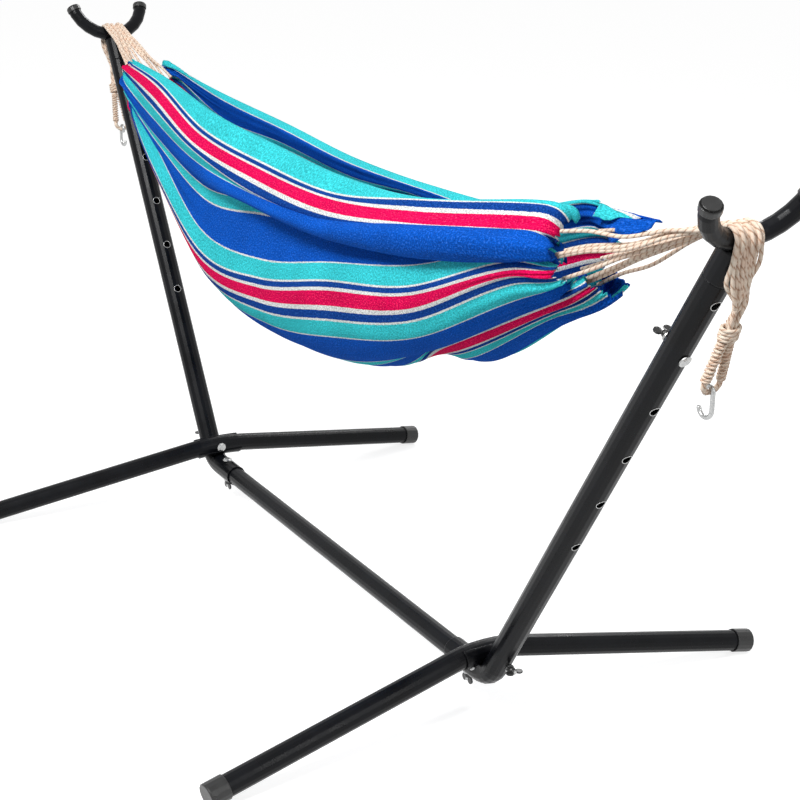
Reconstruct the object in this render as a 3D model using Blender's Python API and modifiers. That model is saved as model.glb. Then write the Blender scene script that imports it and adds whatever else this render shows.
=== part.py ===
"""Striped cloth hammock on a black tubular steel stand, in metres, +Z up.

The origin is on the floor under the middle of the base beam. X runs along the beam, and -Y is the
side where the cloth's rim rolls outwards. Each end of the stand is modelled once, at +X, and the other
end is the same end turned half a turn about Z.
"""

import math

import bmesh
import bpy
from mathutils import Matrix, Vector

# Clearances
GAP = 0.0003  # between pieces that touch
SLIDE_FIT = 0.001  # round a tube end that slides into another tube
BOLT_FIT = 0.0006  # round a bolt in its hole

# Base beam and posts
BEAM_Z = 0.0755
POST_OD = 0.048
POST_WALL = 0.002
POST_LEAN = math.radians(31)  # from upright, away from the middle
CORNER_X = 0.627  # where the beam's axis and the post's axis would cross
CORNER_RADIUS = 0.065
STUB_LENGTH = 0.127  # from the corner back to the open end that takes the beam
BEAM_GRIP = 0.072  # how far the beam goes into the stub
BEAM_BOLT_FROM_STUB_END = 0.050
INNER_OD = POST_OD - 2 * POST_WALL - 2 * SLIDE_FIT
BEAM_WALL = 0.002

# Adjustment holes, measured up the post's axis from the corner
HOLE_DIAMETER = 0.017
FIRST_HOLE = 0.437
HOLE_PITCH = 0.1165
HOLE_COUNT = 6
BOLTED_HOLE = 4
POST_LENGTH = 1.056  # corner to the seam under the fork

# Fork post and fork
FORK_AT = 1.1307  # corner to the fork's axis
FORK_POST_GRIP = 0.221
COLLAR_BELOW_FORK = 0.0115  # from the fork's axis down to the collar's coped top
COLLAR_CHAMFER = 0.004
FORK_OD = 0.031
FORK_RADIUS = 0.0917
FORK_HALF_TURN = math.radians(83)
FORK_CAP_LENGTH = 0.014
FORK_CAP_WALL = 0.0016
FORK_CAP_DOME = 0.004

# Cross legs
LEG_OD = 0.042
LEG_FOOT_X = 0.6687
LEG_HALF_SPAN = 0.597
LEG_BEND_RADIUS = 0.35
LEG_NOTCH = 0.005
SETTLING_ROUNDS = 4  # of the sum that finds where the arms would cross
LEG_SEAT_ANGLE = math.radians(40)  # of the seat round the corner bend, from straight down
FOOT_CAP_LENGTH = 0.038
FOOT_CAP_WALL = 0.0022
FOOT_CAP_CHAMFER = 0.0015
FOOT_FLAT_DEPTH = 0.0012

# Saddle plate under each leg
SADDLE_HALF_LENGTH = 0.055
SADDLE_WALL = 0.003
SADDLE_SCREW_Y = 0.040
SADDLE_HEAD_CLEARANCE = 0.00135  # from its inner edge to the leg bolt's head

# Fasteners
BOLT_DIAMETER = 0.008
BOLT_HEAD_DIAMETER = 0.022
BOLT_HEAD_HEIGHT = 0.0045
BOLT_TAIL = 0.021  # past the tube that it clamps
TIP_CHAMFER = 0.3  # share of the shank's radius
HEAD_RIM = 0.5  # share of the head's height
HEAD_FLAT = 0.6  # share of the head's radius
SCREW_DIAMETER = 0.005
SCREW_HEAD_DIAMETER = 0.011
SCREW_HEAD_HEIGHT = 0.0035
SCREW_LENGTH = 0.014
WASHER_OD = 0.018
WASHER_HEIGHT = 0.004
WING_HUB_OD = 0.014
WING_HUB_HEIGHT = 0.009
WING_HUB_SHOULDER = 0.0054  # height up to which it has its full width
WING_HUB_TOP_OD = 0.0112
WING_DIAMETER = 0.015
WING_THICKNESS = 0.003
WING_OFFSET = 0.0115  # from the bolt's axis to the middle of a wing
WING_LIFT = 0.0065  # of the wings' middle line above the washer
WING_TILT = math.radians(35)

# Hammock bed
HEM_X = {"right": 0.90, "left": 0.97}  # the cloth hangs nearer to the left fork
HEM_LENGTH = 0.045  # straight band at each end
LOWEST_X = -0.10
CLOTH_THICKNESS = 0.005
HEM_CENTRE_Z = 0.957
HEM_HALF_WIDTH = 0.080
HEM_HALF_HEIGHT = 0.072
HEM_OPEN_ANGLE = math.radians(30)
SAG_POWER = 2.4  # how flat the sag is along the middle
SPREAD_POWER = 0.7  # how soon the gathered end opens out to the full width
PLEAT_DEPTH = 0.011
BELLY_PLEAT_DEPTH = 0.003
PLEAT_FADE_POWER = 3  # how soon the pleats flatten away from the gathered end
CELLS_PER_PLEAT = 4
BED_CELLS_ALONG = 14
MIDDLE_SECTION = (  # y, z of the cloth half way along, from the near edge to the far edge
    (-0.064, 0.934), (-0.092, 0.950), (-0.136, 0.926), (-0.150, 0.884), (-0.116, 0.856),
    (-0.092, 0.826), (-0.110, 0.768), (-0.126, 0.708), (-0.100, 0.608), (0.000, 0.560),
    (0.100, 0.608), (0.126, 0.716), (0.080, 0.838), (0.052, 0.918), (0.070, 0.946), (0.098, 0.926),
)

# Suspension cords, rope tail, eye and hook
CORDS = 9  # at each end, one to a pleat
CORD_DIAMETER = 0.0068
CORD_PITCH = 0.0058  # side by side on the fork
CORD_SAG = 0.004
CORD_RUNS = 3  # straight runs that follow the sag
WRAP_RUNS = 4  # straight runs over the fork
SWING_X = 1.150  # plane where the hanging cords meet the ones laid over the fork
TAIL_LENGTH = 0.112  # from the fork to the gathered end
TAIL_TUCK = 0.0007  # closer to the collar than true rounds could lie, as both have flat sides
TAIL_GATHER = 0.024  # gathered end inside the whipping
TAIL_HALF_WIDTH = 0.0060
UNEVEN_END = 0.0004  # each cord ends this much above the one before
EYE_ROPE_DIAMETER = 0.010
EYE_TOP_RADIUS = 0.0066
EYE_BOTTOM_RADIUS = 0.015
EYE_LENGTH = 0.080  # between the centres of its top and bottom arcs
EYE_LEAN = math.radians(18)
EYE_TOP_STEPS = 6
EYE_BOTTOM_STEPS = 8
WHIPPING_CORD = 0.0044
WHIPPING_PITCH = 0.0056
WHIPPING_LOOPS = 4
WHIPPING_BACK = 0.009  # how far it starts above the eye
WHIPPING_CLEARANCE = 0.0016  # over the layered cords
LOOP_POINTS = 24
HOOK_ROD = 0.0075
HOOK_SHANK = 0.026
HOOK_LOWER_RADIUS = 0.0145
HOOK_TOP_PAST = math.radians(50)  # how far its upper end runs on round the rope
HOOK_TOP_STEPS = 7
HOOK_BOTTOM_STEPS = 6

CUT_OVERRUN = 0.002
DRILL_REACH = 1.5  # length of a drill, in diameters of the tube that it goes through
SLANTED_DRILL_REACH = 2.2  # the same where the tube leans
CUT_BLOCK = 2.0  # side of a block that cuts a whole piece off
TUBE_SIDES = 16
HOLE_SIDES = 10
BOLT_SIDES = 10
BOLT_HOLE_SIDES = 8
ROPE_SIDES = 8
CORD_SIDES = 6
BEND_STEP = math.radians(12)  # of a tube's tight bends
LEG_BEND_STEP = math.radians(4)
FORK_STEPS = 12
SMOOTH_ANGLE = math.radians(40)

POST_AXIS = Vector((math.sin(POST_LEAN), 0, math.cos(POST_LEAN)))
POST_NORMAL = Vector((math.cos(POST_LEAN), 0, -math.sin(POST_LEAN)))
CORNER = Vector((CORNER_X, 0, BEAM_Z))
FORK_CENTRE = CORNER + POST_AXIS * FORK_AT
CORNER_TURN = math.pi / 2 - POST_LEAN
BEND_CENTRE = Vector((CORNER_X - CORNER_RADIUS * math.tan(CORNER_TURN / 2), 0, BEAM_Z + CORNER_RADIUS))
SEAT_DIRECTION = Vector((math.sin(LEG_SEAT_ANGLE), 0, -math.cos(LEG_SEAT_ANGLE)))
LEG_CENTRE = BEND_CENTRE + SEAT_DIRECTION * (
    CORNER_RADIUS - (LEG_OD + POST_OD) / 2 + LEG_NOTCH
)
STUB_END_X = CORNER_X - STUB_LENGTH
COLLAR_CORNER_DROP = COLLAR_BELOW_FORK + COLLAR_CHAMFER
# The rope tail hangs from the fork just clear of the collar's outer corner.
TAIL_LEAN = (POST_LEAN + math.atan2(COLLAR_CORNER_DROP, POST_OD / 2)
             - math.acos((FORK_OD / 2 + TAIL_TUCK) / math.hypot(COLLAR_CORNER_DROP, POST_OD / 2)))
WRAP_RADIUS = (FORK_OD + CORD_DIAMETER) / 2 + GAP


# Scene, collections and materials

def clear_scene():
    for old in list(bpy.data.objects):
        bpy.data.objects.remove(old, do_unlink=True)


def new_collection(name):
    collection = bpy.data.collections.new(name)
    bpy.context.scene.collection.children.link(collection)
    return collection


def new_material(name, colour, roughness, metallic):
    material = bpy.data.materials.new(name)
    material.use_nodes = True
    shader = material.node_tree.nodes["Principled BSDF"]
    shader.inputs["Base Color"].default_value = (*colour, 1)
    shader.inputs["Roughness"].default_value = roughness
    shader.inputs["Metallic"].default_value = metallic
    return material


def add(name, mesh, collection, end=None):
    """A new object for this mesh. A piece of one end is parented to that end's empty."""
    piece = bpy.data.objects.new(name, mesh)
    collection.objects.link(piece)
    piece.parent = end
    if collection is CUTTERS:
        piece.hide_render = True
        piece.display_type = "WIRE"
    return piece


def finish(piece, material):
    piece.data.materials.clear()
    piece.data.materials.append(material)
    piece.data.shade_smooth()
    piece.data.set_sharp_from_angle(angle=SMOOTH_ANGLE)
    return piece


def boolean(piece, other, operation):
    """Cuts from, or joins to, this piece one object or all the objects of a collection."""
    modifier = piece.modifiers.new(operation.title(), "BOOLEAN")
    modifier.operation = operation
    if isinstance(other, bpy.types.Collection):
        modifier.operand_type = "COLLECTION"
        modifier.collection = other
    else:
        modifier.object = other
    return piece


# Shapes

def aimed(place, direction):
    """The matrix that moves the origin to place and turns +Z along direction."""
    turn = Vector(direction).to_track_quat("Z", "Y").to_matrix().to_4x4()
    return Matrix.Translation(place) @ turn


def rounded_path(corners, radius, step=BEND_STEP):
    """The corner points joined by straight runs, with an arc of this radius at each inner corner."""
    path = [corners[0]]
    for before, corner, after in zip(corners, corners[1:], corners[2:]):
        back = (before - corner).normalized()
        ahead = (after - corner).normalized()
        turn = math.pi - back.angle(ahead)
        middle = corner + (back + ahead).normalized() * radius / math.cos(turn / 2)
        start = corner + back * radius * math.tan(turn / 2)
        axis = back.cross(ahead).normalized()
        steps = max(2, round(turn / step))
        for i in range(steps + 1):
            spin = Matrix.Rotation(-turn * i / steps, 3, axis)
            path.append(middle + spin @ (start - middle))
    path.append(corners[-1])
    return path


def tube_mesh(name, path, diameter, sides=TUBE_SIDES, closed=False):
    """A round bar along the path, made as a bevelled curve and kept as a mesh with its caps welded."""
    curve = bpy.data.curves.new(name, "CURVE")
    curve.dimensions = "3D"
    curve.bevel_depth = diameter / 2
    curve.bevel_resolution = (sides - 4) // 2
    curve.use_fill_caps = not closed
    spline = curve.splines.new("POLY")
    spline.points.add(len(path) - 1)
    spline.use_cyclic_u = closed
    for point, place in zip(spline.points, path):
        point.co = (*place, 1)
    guide = bpy.data.objects.new(name, curve)
    bpy.context.scene.collection.objects.link(guide)
    graph = bpy.context.evaluated_depsgraph_get()
    mesh = bpy.data.meshes.new_from_object(guide.evaluated_get(graph))
    bpy.data.objects.remove(guide)
    weld(mesh)
    return mesh


def weld(mesh):
    cage = bmesh.new()
    cage.from_mesh(mesh)
    bmesh.ops.remove_doubles(cage, verts=cage.verts, dist=1e-5)
    cage.to_mesh(mesh)
    cage.free()


def turned_mesh(name, profile, matrix, steps=16, ring=False):
    """A profile of (radius, height) turned about Z. It runs down its outer side, top to bottom."""
    count = len(profile)
    edges = [(i, i + 1) for i in range(count - 1)]
    if ring:
        edges.append((count - 1, 0))
    outline = bpy.data.meshes.new(name)
    outline.from_pydata([(radius, 0, height) for radius, height in profile], edges, [])
    guide = bpy.data.objects.new(name, outline)
    bpy.context.scene.collection.objects.link(guide)
    screw = guide.modifiers.new("Screw", "SCREW")
    screw.steps = steps
    screw.render_steps = steps
    screw.use_merge_vertices = True
    screw.merge_threshold = 1e-5
    graph = bpy.context.evaluated_depsgraph_get()
    mesh = bpy.data.meshes.new_from_object(guide.evaluated_get(graph))
    bpy.data.objects.remove(guide)
    mesh.transform(matrix)
    return mesh


def rod_mesh(name, start, end, diameter, sides=HOLE_SIDES):
    """A cylinder. Its corners are half a side round from a tube's, so that a hole's don't fall on them."""
    start, end = Vector(start), Vector(end)
    spin = Matrix.Rotation(math.pi / sides, 4, "Z")
    cage = bmesh.new()
    bmesh.ops.create_cone(cage, cap_ends=True, segments=sides, radius1=diameter / 2,
                          radius2=diameter / 2, depth=(end - start).length,
                          matrix=aimed((start + end) / 2, end - start) @ spin)
    mesh = bpy.data.meshes.new(name)
    cage.to_mesh(mesh)
    cage.free()
    return mesh


def block_mesh(name, low, high):
    cage = bmesh.new()
    size = Vector(high) - Vector(low)
    middle = Matrix.Translation((Vector(high) + Vector(low)) / 2)
    bmesh.ops.create_cube(cage, size=1, matrix=middle @ Matrix.Diagonal((*size, 1)))
    mesh = bpy.data.meshes.new(name)
    cage.to_mesh(mesh)
    cage.free()
    return mesh


def arc(centre, radius, start, end, steps):
    """Points of an arc in the plane of X and Z, both ends included."""
    turns = [start + (end - start) * i / steps for i in range(steps + 1)]
    return [centre + Vector((math.cos(turn), 0, math.sin(turn))) * radius for turn in turns]


def stretched(path, length):
    """The path with both ends moved out by this length along their own last runs."""
    first = path[0] + (path[0] - path[1]).normalized() * length
    last = path[-1] + (path[-1] - path[-2]).normalized() * length
    return [first] + path[1:-1] + [last]


def smooth_through(points, count):
    """Evenly numbered points on the smooth curve through the given points (Catmull-Rom)."""
    found = []
    for i in range(count + 1):
        place = i / count * (len(points) - 1)
        k = min(int(place), len(points) - 2)
        t = place - k
        around = [points[min(max(k + j, 0), len(points) - 1)] for j in (-1, 0, 1, 2)]
        value = []
        for a, b, c, d in zip(*around):
            value.append(0.5 * (2 * b + (c - a) * t + (2 * a - 5 * b + 4 * c - d) * t * t
                                + (3 * b - a - 3 * c + d) * t ** 3))
        found.append(tuple(value))
    return found


# Places along the post and the leg

def on_post(distance):
    return CORNER + POST_AXIS * distance


def post_path():
    return rounded_path([Vector((STUB_END_X, 0, BEAM_Z)), CORNER, on_post(POST_LENGTH)], CORNER_RADIUS)


def hole_places():
    return [FIRST_HOLE + HOLE_PITCH * i for i in range(HOLE_COUNT)]


def foot_centre_z():
    return (LEG_OD / 2 + FOOT_CAP_WALL) - FOOT_FLAT_DEPTH


def leg_corners():
    """The leg's two feet and the point where the axes of its two arms would cross."""
    near = Vector((LEG_FOOT_X, -LEG_HALF_SPAN, foot_centre_z()))
    far = Vector((LEG_FOOT_X, LEG_HALF_SPAN, foot_centre_z()))
    top = LEG_CENTRE.copy()
    for _ in range(SETTLING_ROUNDS):
        arm = (near - top).normalized()
        drop = LEG_BEND_RADIUS * (1 / math.cos(math.pi / 2 - arm.angle(rise(near, top))) - 1)
        top = LEG_CENTRE + rise(near, top) * drop
    return near, top, far


def rise(near, top):
    """The direction in the leg's own slanted plane, square to Y, that points up."""
    return Vector((top.x - near.x, 0, top.z - near.z)).normalized()


def leg_path():
    return rounded_path(leg_corners(), LEG_BEND_RADIUS, LEG_BEND_STEP)


def leg_axis_at(y):
    """The point of the leg's axis at this y."""
    path = leg_path()
    for before, after in zip(path, path[1:]):
        if before.y <= y <= after.y:
            return before.lerp(after, (y - before.y) / (after.y - before.y))


def leg_seat_normal(y):
    """Square to the leg at this y, and as near as that allows to the direction of its seat."""
    beside = LEG_OD / 4
    along = (leg_axis_at(y + beside) - leg_axis_at(y - beside)).normalized()
    return (SEAT_DIRECTION - along * SEAT_DIRECTION.dot(along)).normalized()


# Stand

def base_beam():
    half = STUB_END_X + BEAM_GRIP
    outer = INNER_OD / 2
    bore = outer - BEAM_WALL
    profile = [(outer, half), (outer, -half), (bore, -half), (bore, half)]
    mesh = turned_mesh("base_beam", profile, aimed((0, 0, BEAM_Z), (1, 0, 0)), TUBE_SIDES, ring=True)
    beam = add("base_beam", mesh, OBJECT)
    for side, x in (("right", beam_bolt_x()), ("left", -beam_bolt_x())):
        drill(beam, f"beam_hole_{side}", Vector((x, 0, BEAM_Z)), Vector((0, 0, 1)),
              BOLT_DIAMETER + 2 * BOLT_FIT, POST_OD)
    return finish(beam, BLACK_STEEL)


def beam_bolt_x():
    return STUB_END_X + BEAM_BOLT_FROM_STUB_END


def drill(piece, name, centre, direction, diameter, depth, end=None):
    half = direction * depth / 2
    sides = HOLE_SIDES if diameter == HOLE_DIAMETER else BOLT_HOLE_SIDES
    cutter = add(name, rod_mesh(name, centre - half, centre + half, diameter, sides), CUTTERS, end)
    boolean(piece, cutter, "DIFFERENCE")


def lower_post(side, end):
    path = post_path()
    post = add(f"lower_post_{side}", tube_mesh("post", path, POST_OD), OBJECT, end)
    bore_mesh = tube_mesh("bore", stretched(path, CUT_OVERRUN), POST_OD - 2 * POST_WALL)
    bore = add(f"post_bore_{side}", bore_mesh, CUTTERS, end)
    boolean(post, bore, "DIFFERENCE")
    for i, place in enumerate(hole_places()):
        wide = BOLT_DIAMETER + 2 * BOLT_FIT if i == BOLTED_HOLE else HOLE_DIAMETER
        drill(post, f"post_hole_{side}_{i}", on_post(place), POST_NORMAL, wide, DRILL_REACH * POST_OD, end)
    drill(post, f"stub_hole_{side}", Vector((beam_bolt_x(), 0, BEAM_Z)), Vector((0, 0, 1)),
          BOLT_DIAMETER + 2 * BOLT_FIT, DRILL_REACH * POST_OD, end)
    drill(post, f"foot_hole_{side}", leg_bolt_centre(), Vector((1, 0, 0)),
          BOLT_DIAMETER + 2 * BOLT_FIT, SLANTED_DRILL_REACH * POST_OD, end)
    return finish(post, BLACK_STEEL)


def leg_bolt_centre():
    """Where the level bolt through the leg crosses the post's axis."""
    climb = (LEG_CENTRE.z - BEAM_Z) / POST_AXIS.z
    return on_post(climb)


def fork_post(side, end):
    """The upper tube: a reduced end inside the lower post, and a full-width collar coped to the fork."""
    low = POST_LENGTH - FORK_POST_GRIP
    seam = POST_LENGTH + GAP
    outer, inner = POST_OD / 2, INNER_OD / 2
    bore = inner - POST_WALL
    top = FORK_AT - COLLAR_BELOW_FORK
    profile = [(outer - COLLAR_CHAMFER, top), (outer, top - COLLAR_CHAMFER), (outer, seam),
               (inner, seam), (inner, low), (bore, low), (bore, top)]
    mesh = turned_mesh("fork_post", profile, aimed(CORNER, POST_AXIS), TUBE_SIDES, ring=True)
    post = add(f"fork_post_{side}", mesh, OBJECT, end)
    cope = add(f"fork_cope_{side}", tube_mesh("cope", fork_path(), FORK_OD + 2 * GAP), CUTTERS, end)
    boolean(post, cope, "DIFFERENCE")
    for i, place in enumerate(hole_places()[BOLTED_HOLE:], BOLTED_HOLE):
        wide = BOLT_DIAMETER + 2 * BOLT_FIT if i == BOLTED_HOLE else HOLE_DIAMETER
        name = f"fork_post_hole_{side}_{i}"
        drill(post, name, on_post(place), POST_NORMAL, wide, DRILL_REACH * POST_OD, end)
    return finish(post, BLACK_STEEL)


def fork_point(turn):
    """A point of the fork's axis, a half circle standing on the post in the plane of Y and the post."""
    return (FORK_CENTRE + POST_AXIS * FORK_RADIUS * (1 - math.cos(turn))
            + Vector((0, FORK_RADIUS * math.sin(turn), 0)))


def fork_path():
    return [fork_point(FORK_HALF_TURN * (2 * i / FORK_STEPS - 1)) for i in range(FORK_STEPS + 1)]


def fork_horn(side, end):
    mesh = tube_mesh("fork", stretched(fork_path(), -FORK_CAP_WALL - GAP), FORK_OD)
    return finish(add(f"fork_horn_{side}", mesh, OBJECT, end), BLACK_STEEL)


def cup_profile(bore_radius, wall, length, dome):
    """A cap closed at its top, with a bore from below and a chamfered or domed rim."""
    outer = bore_radius + wall
    return [(0, length), (outer - dome, length), (outer, length - dome), (outer, 0),
            (bore_radius, 0), (bore_radius, length - wall), (0, length - wall)]


def fork_cap(side, which, end):
    path = fork_path()
    tip, before = (path[0], path[1]) if which == "near" else (path[-1], path[-2])
    ahead = (tip - before).normalized()
    profile = cup_profile(FORK_OD / 2 + GAP, FORK_CAP_WALL, FORK_CAP_LENGTH, FORK_CAP_DOME)
    matrix = aimed(tip - ahead * FORK_CAP_LENGTH, ahead)
    mesh = turned_mesh("fork_cap", profile, matrix, TUBE_SIDES)
    return finish(add(f"fork_cap_{which}_{side}", mesh, OBJECT, end), BLACK_PLASTIC)


def cross_leg(side, end):
    path = stretched(leg_path(), -FOOT_CAP_WALL - GAP)
    leg = add(f"cross_leg_{side}", tube_mesh("leg", path, LEG_OD), OBJECT, end)
    seat = add(f"leg_notch_{side}", tube_mesh("notch", post_path(), POST_OD + 2 * GAP), CUTTERS, end)
    boolean(leg, seat, "DIFFERENCE")
    drill(leg, f"leg_hole_{side}", LEG_CENTRE, Vector((1, 0, 0)),
          BOLT_DIAMETER + 2 * BOLT_FIT, DRILL_REACH * LEG_OD, end)
    screw_holes(leg, side, end)
    return finish(leg, BLACK_STEEL)


def screw_holes(piece, side, end):
    for which, y in (("near", -SADDLE_SCREW_Y), ("far", SADDLE_SCREW_Y)):
        normal = leg_seat_normal(y)
        drill(piece, f"{piece.name}_screw_hole_{which}", leg_axis_at(y) + normal * LEG_OD / 2,
              normal, SCREW_DIAMETER + 2 * BOLT_FIT, 2 * SCREW_LENGTH, end)


def foot_cap(side, which, end):
    near, top, far = leg_corners()
    foot = near if which == "near" else far
    outward = (foot - top).normalized()
    profile = cup_profile(LEG_OD / 2 + GAP, FOOT_CAP_WALL, FOOT_CAP_LENGTH, FOOT_CAP_CHAMFER)
    matrix = aimed(foot - outward * FOOT_CAP_LENGTH, outward)
    cap = add(f"foot_cap_{which}_{side}", turned_mesh("foot_cap", profile, matrix, TUBE_SIDES), OBJECT, end)
    boolean(cap, floor_cutter(), "DIFFERENCE")
    return finish(cap, BLACK_PLASTIC)


def floor_cutter():
    """A slab whose top is the floor, which gives each foot cap its flat."""
    if "floor_slab" not in bpy.data.objects:
        low, high = (-CUT_BLOCK, -CUT_BLOCK, -CUT_BLOCK), (CUT_BLOCK, CUT_BLOCK, 0)
        add("floor_slab", block_mesh("floor_slab", low, high), CUTTERS)
    return bpy.data.objects["floor_slab"]


def saddle_rise():
    """How far the strap reaches up past the leg's axis: its inner edge ends below the leg bolt's head."""
    outer = LEG_OD / 2 + GAP + SADDLE_WALL
    head_turn = math.asin((BOLT_HEAD_DIAMETER / 2 + SADDLE_HEAD_CLEARANCE) / outer)
    return outer * math.sin(LEG_SEAT_ANGLE - head_turn)


def leg_saddle(side, end):
    """A strap bent round the leg's lower side, open where the post's bend passes through it."""
    inside = [place for place in leg_path() if abs(place.y) < SADDLE_HALF_LENGTH]
    reach = [leg_axis_at(-SADDLE_HALF_LENGTH)] + inside + [leg_axis_at(SADDLE_HALF_LENGTH)]
    mesh = tube_mesh("saddle", reach, LEG_OD + 2 * (SADDLE_WALL + GAP))
    strap = add(f"leg_saddle_{side}", mesh, OBJECT, end)
    for word, path, diameter in (("bore", leg_path(), LEG_OD), ("notch", post_path(), POST_OD)):
        cutter = tube_mesh("saddle_cut", path, diameter + 2 * GAP)
        boolean(strap, add(f"saddle_{word}_{side}", cutter, CUTTERS, end), "DIFFERENCE")
    reach_up = 2 * SADDLE_HALF_LENGTH
    top = block_mesh("saddle_top", (-reach_up, -reach_up, saddle_rise()), (reach_up, reach_up, reach_up))
    top.transform(aimed(LEG_CENTRE, -SEAT_DIRECTION))
    boolean(strap, add(f"saddle_top_{side}", top, CUTTERS, end), "DIFFERENCE")
    drill(strap, f"saddle_bolt_hole_{side}", LEG_CENTRE, Vector((1, 0, 0)),
          BOLT_DIAMETER + 2 * BOLT_FIT, SLANTED_DRILL_REACH * LEG_OD, end)
    screw_holes(strap, side, end)
    return finish(strap, BLACK_STEEL)


# Fasteners

def headed_profile(length, diameter, head_diameter, head_height):
    radius, head = diameter / 2, head_diameter / 2
    chamfer = TIP_CHAMFER * radius
    return [(0, length), (radius - chamfer, length), (radius, length - chamfer), (radius, 0),
            (head, 0), (head, -HEAD_RIM * head_height), (HEAD_FLAT * head, -head_height), (0, -head_height)]


def saddle_screw(side, which, end):
    y = -SADDLE_SCREW_Y if which == "near" else SADDLE_SCREW_Y
    normal = leg_seat_normal(y)
    under_head = leg_axis_at(y) + normal * (LEG_OD / 2 + SADDLE_WALL + 2 * GAP)
    profile = headed_profile(SCREW_LENGTH, SCREW_DIAMETER, SCREW_HEAD_DIAMETER, SCREW_HEAD_HEIGHT)
    mesh = turned_mesh("screw", profile, aimed(under_head, -normal), BOLT_HOLE_SIDES)
    return finish(add(f"saddle_screw_{which}_{side}", mesh, OBJECT, end), ZINC)


def clamp(name, side, end, head_at, direction, grip):
    """A bolt from head_at through a grip of this length, with its washer and wing nut beyond."""
    length = grip + 2 * GAP + BOLT_TAIL
    profile = headed_profile(length, BOLT_DIAMETER, BOLT_HEAD_DIAMETER, BOLT_HEAD_HEIGHT)
    bolt = turned_mesh("bolt", profile, aimed(head_at, direction), BOLT_SIDES)
    finish(add(f"{name}_bolt_{side}", bolt, OBJECT, end), ZINC)
    seat = head_at + direction * (grip + 2 * GAP)
    bore = BOLT_DIAMETER / 2 + GAP
    washer_profile = [(WASHER_OD / 2, WASHER_HEIGHT), (WASHER_OD / 2, 0), (bore, 0), (bore, WASHER_HEIGHT)]
    washer = turned_mesh("washer", washer_profile, aimed(seat, direction), BOLT_SIDES, ring=True)
    finish(add(f"{name}_washer_{side}", washer, OBJECT, end), ZINC)
    wing_nut(f"{name}_wing_nut_{side}", end, seat + direction * (WASHER_HEIGHT + GAP), direction, bore)


def wing_nut(name, end, seat, direction, bore):
    """A bored hub with two tilted round wings. Its origin is on its bolt's axis."""
    hub = WING_HUB_OD / 2
    profile = [(WING_HUB_TOP_OD / 2, WING_HUB_HEIGHT), (hub, WING_HUB_SHOULDER), (hub, 0), (bore, 0),
               (bore, WING_HUB_HEIGHT)]
    hub_mesh = turned_mesh("hub", profile, Matrix.Identity(4), BOLT_SIDES, ring=True)
    nut = add(name, hub_mesh, OBJECT, end)
    nut.matrix_local = aimed(seat, direction)
    for sign, word in ((-1, "a"), (1, "b")):
        tilt = Matrix.Rotation(-sign * WING_TILT, 4, "Y")
        centre = Matrix.Translation((0, 0, WING_LIFT)) @ tilt @ Matrix.Translation((sign * WING_OFFSET, 0, 0))
        half = WING_THICKNESS / 2
        disc = rod_mesh("wing", (0, -half, 0), (0, half, 0), WING_DIAMETER)
        disc.transform(centre)
        wing = add(f"{name}_wing_{word}", disc, CUTTERS, nut)
        boolean(nut, wing, "UNION")
    stem = rod_mesh("stem", (0, 0, -BOLT_TAIL), (0, 0, BOLT_TAIL), 2 * bore)
    boolean(nut, add(f"{name}_stem", stem, CUTTERS, nut), "DIFFERENCE")
    return finish(nut, ZINC)


def clamps(side, end):
    upper = on_post(hole_places()[BOLTED_HOLE]) + POST_NORMAL * (POST_OD / 2 + GAP)
    clamp("post", side, end, upper, -POST_NORMAL, POST_OD)
    beam_top = Vector((beam_bolt_x(), 0, BEAM_Z + POST_OD / 2 + GAP))
    clamp("beam", side, end, beam_top, Vector((0, 0, -1)), POST_OD)
    inner_face = LEG_CENTRE - Vector((LEG_OD / 2 + GAP, 0, 0))
    outer_face = leg_bolt_centre().x + POST_OD / 2 / math.cos(POST_LEAN)
    tip_drop = WASHER_OD / 2 * math.tan(POST_LEAN)
    clamp("leg", side, end, inner_face, Vector((1, 0, 0)), outer_face + tip_drop - inner_face.x)


# Hammock cloth

def hem_section():
    """The gathered end of the cloth: an open loop, from the near edge round the bottom to the far edge."""
    count = CORDS * CELLS_PER_PLEAT
    points = []
    sweep = math.pi + 2 * HEM_OPEN_ANGLE
    for i in range(count + 1):
        turn = math.pi - HEM_OPEN_ANGLE + sweep * i / count
        points.append((HEM_HALF_WIDTH * math.cos(turn), HEM_CENTRE_Z + HEM_HALF_HEIGHT * math.sin(turn)))
    return points


def cloth_point(middle, hem, i, x):
    """One point of the cloth: between its middle section and its hem, with pleats across its face."""
    if x > LOWEST_X:
        along = (x - LOWEST_X) / (HEM_X["right"] - HEM_LENGTH - LOWEST_X)
    else:
        along = (LOWEST_X - x) / (LOWEST_X + HEM_X["left"] - HEM_LENGTH)
    along = min(1, along)
    fullness = 1 - along ** SAG_POWER
    spread = fullness ** SPREAD_POWER
    y = hem[i][0] + (middle[i][0] - hem[i][0]) * spread
    z = hem[i][1] + (middle[i][1] - hem[i][1]) * fullness
    ahead, behind = min(i + 1, len(hem) - 1), max(i - 1, 0)
    across = Vector((0, hem[ahead][0] - hem[behind][0], hem[ahead][1] - hem[behind][1])).normalized()
    outward = Vector((0, across.z, -across.y))
    depth = PLEAT_DEPTH * along ** PLEAT_FADE_POWER + BELLY_PLEAT_DEPTH * fullness
    wave = depth * math.cos(2 * math.pi * i / CELLS_PER_PLEAT)
    return Vector((x, y, z)) + outward * wave


def column_x(column):
    """Where the cloth's columns of points stand: one at each end, and the rest between the hem bands."""
    if column == 0:
        return -HEM_X["left"]
    if column == BED_CELLS_ALONG:
        return HEM_X["right"]
    first = HEM_LENGTH - HEM_X["left"]
    last = HEM_X["right"] - HEM_LENGTH
    return first + (last - first) * (column - 1) / (BED_CELLS_ALONG - 2)


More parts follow.
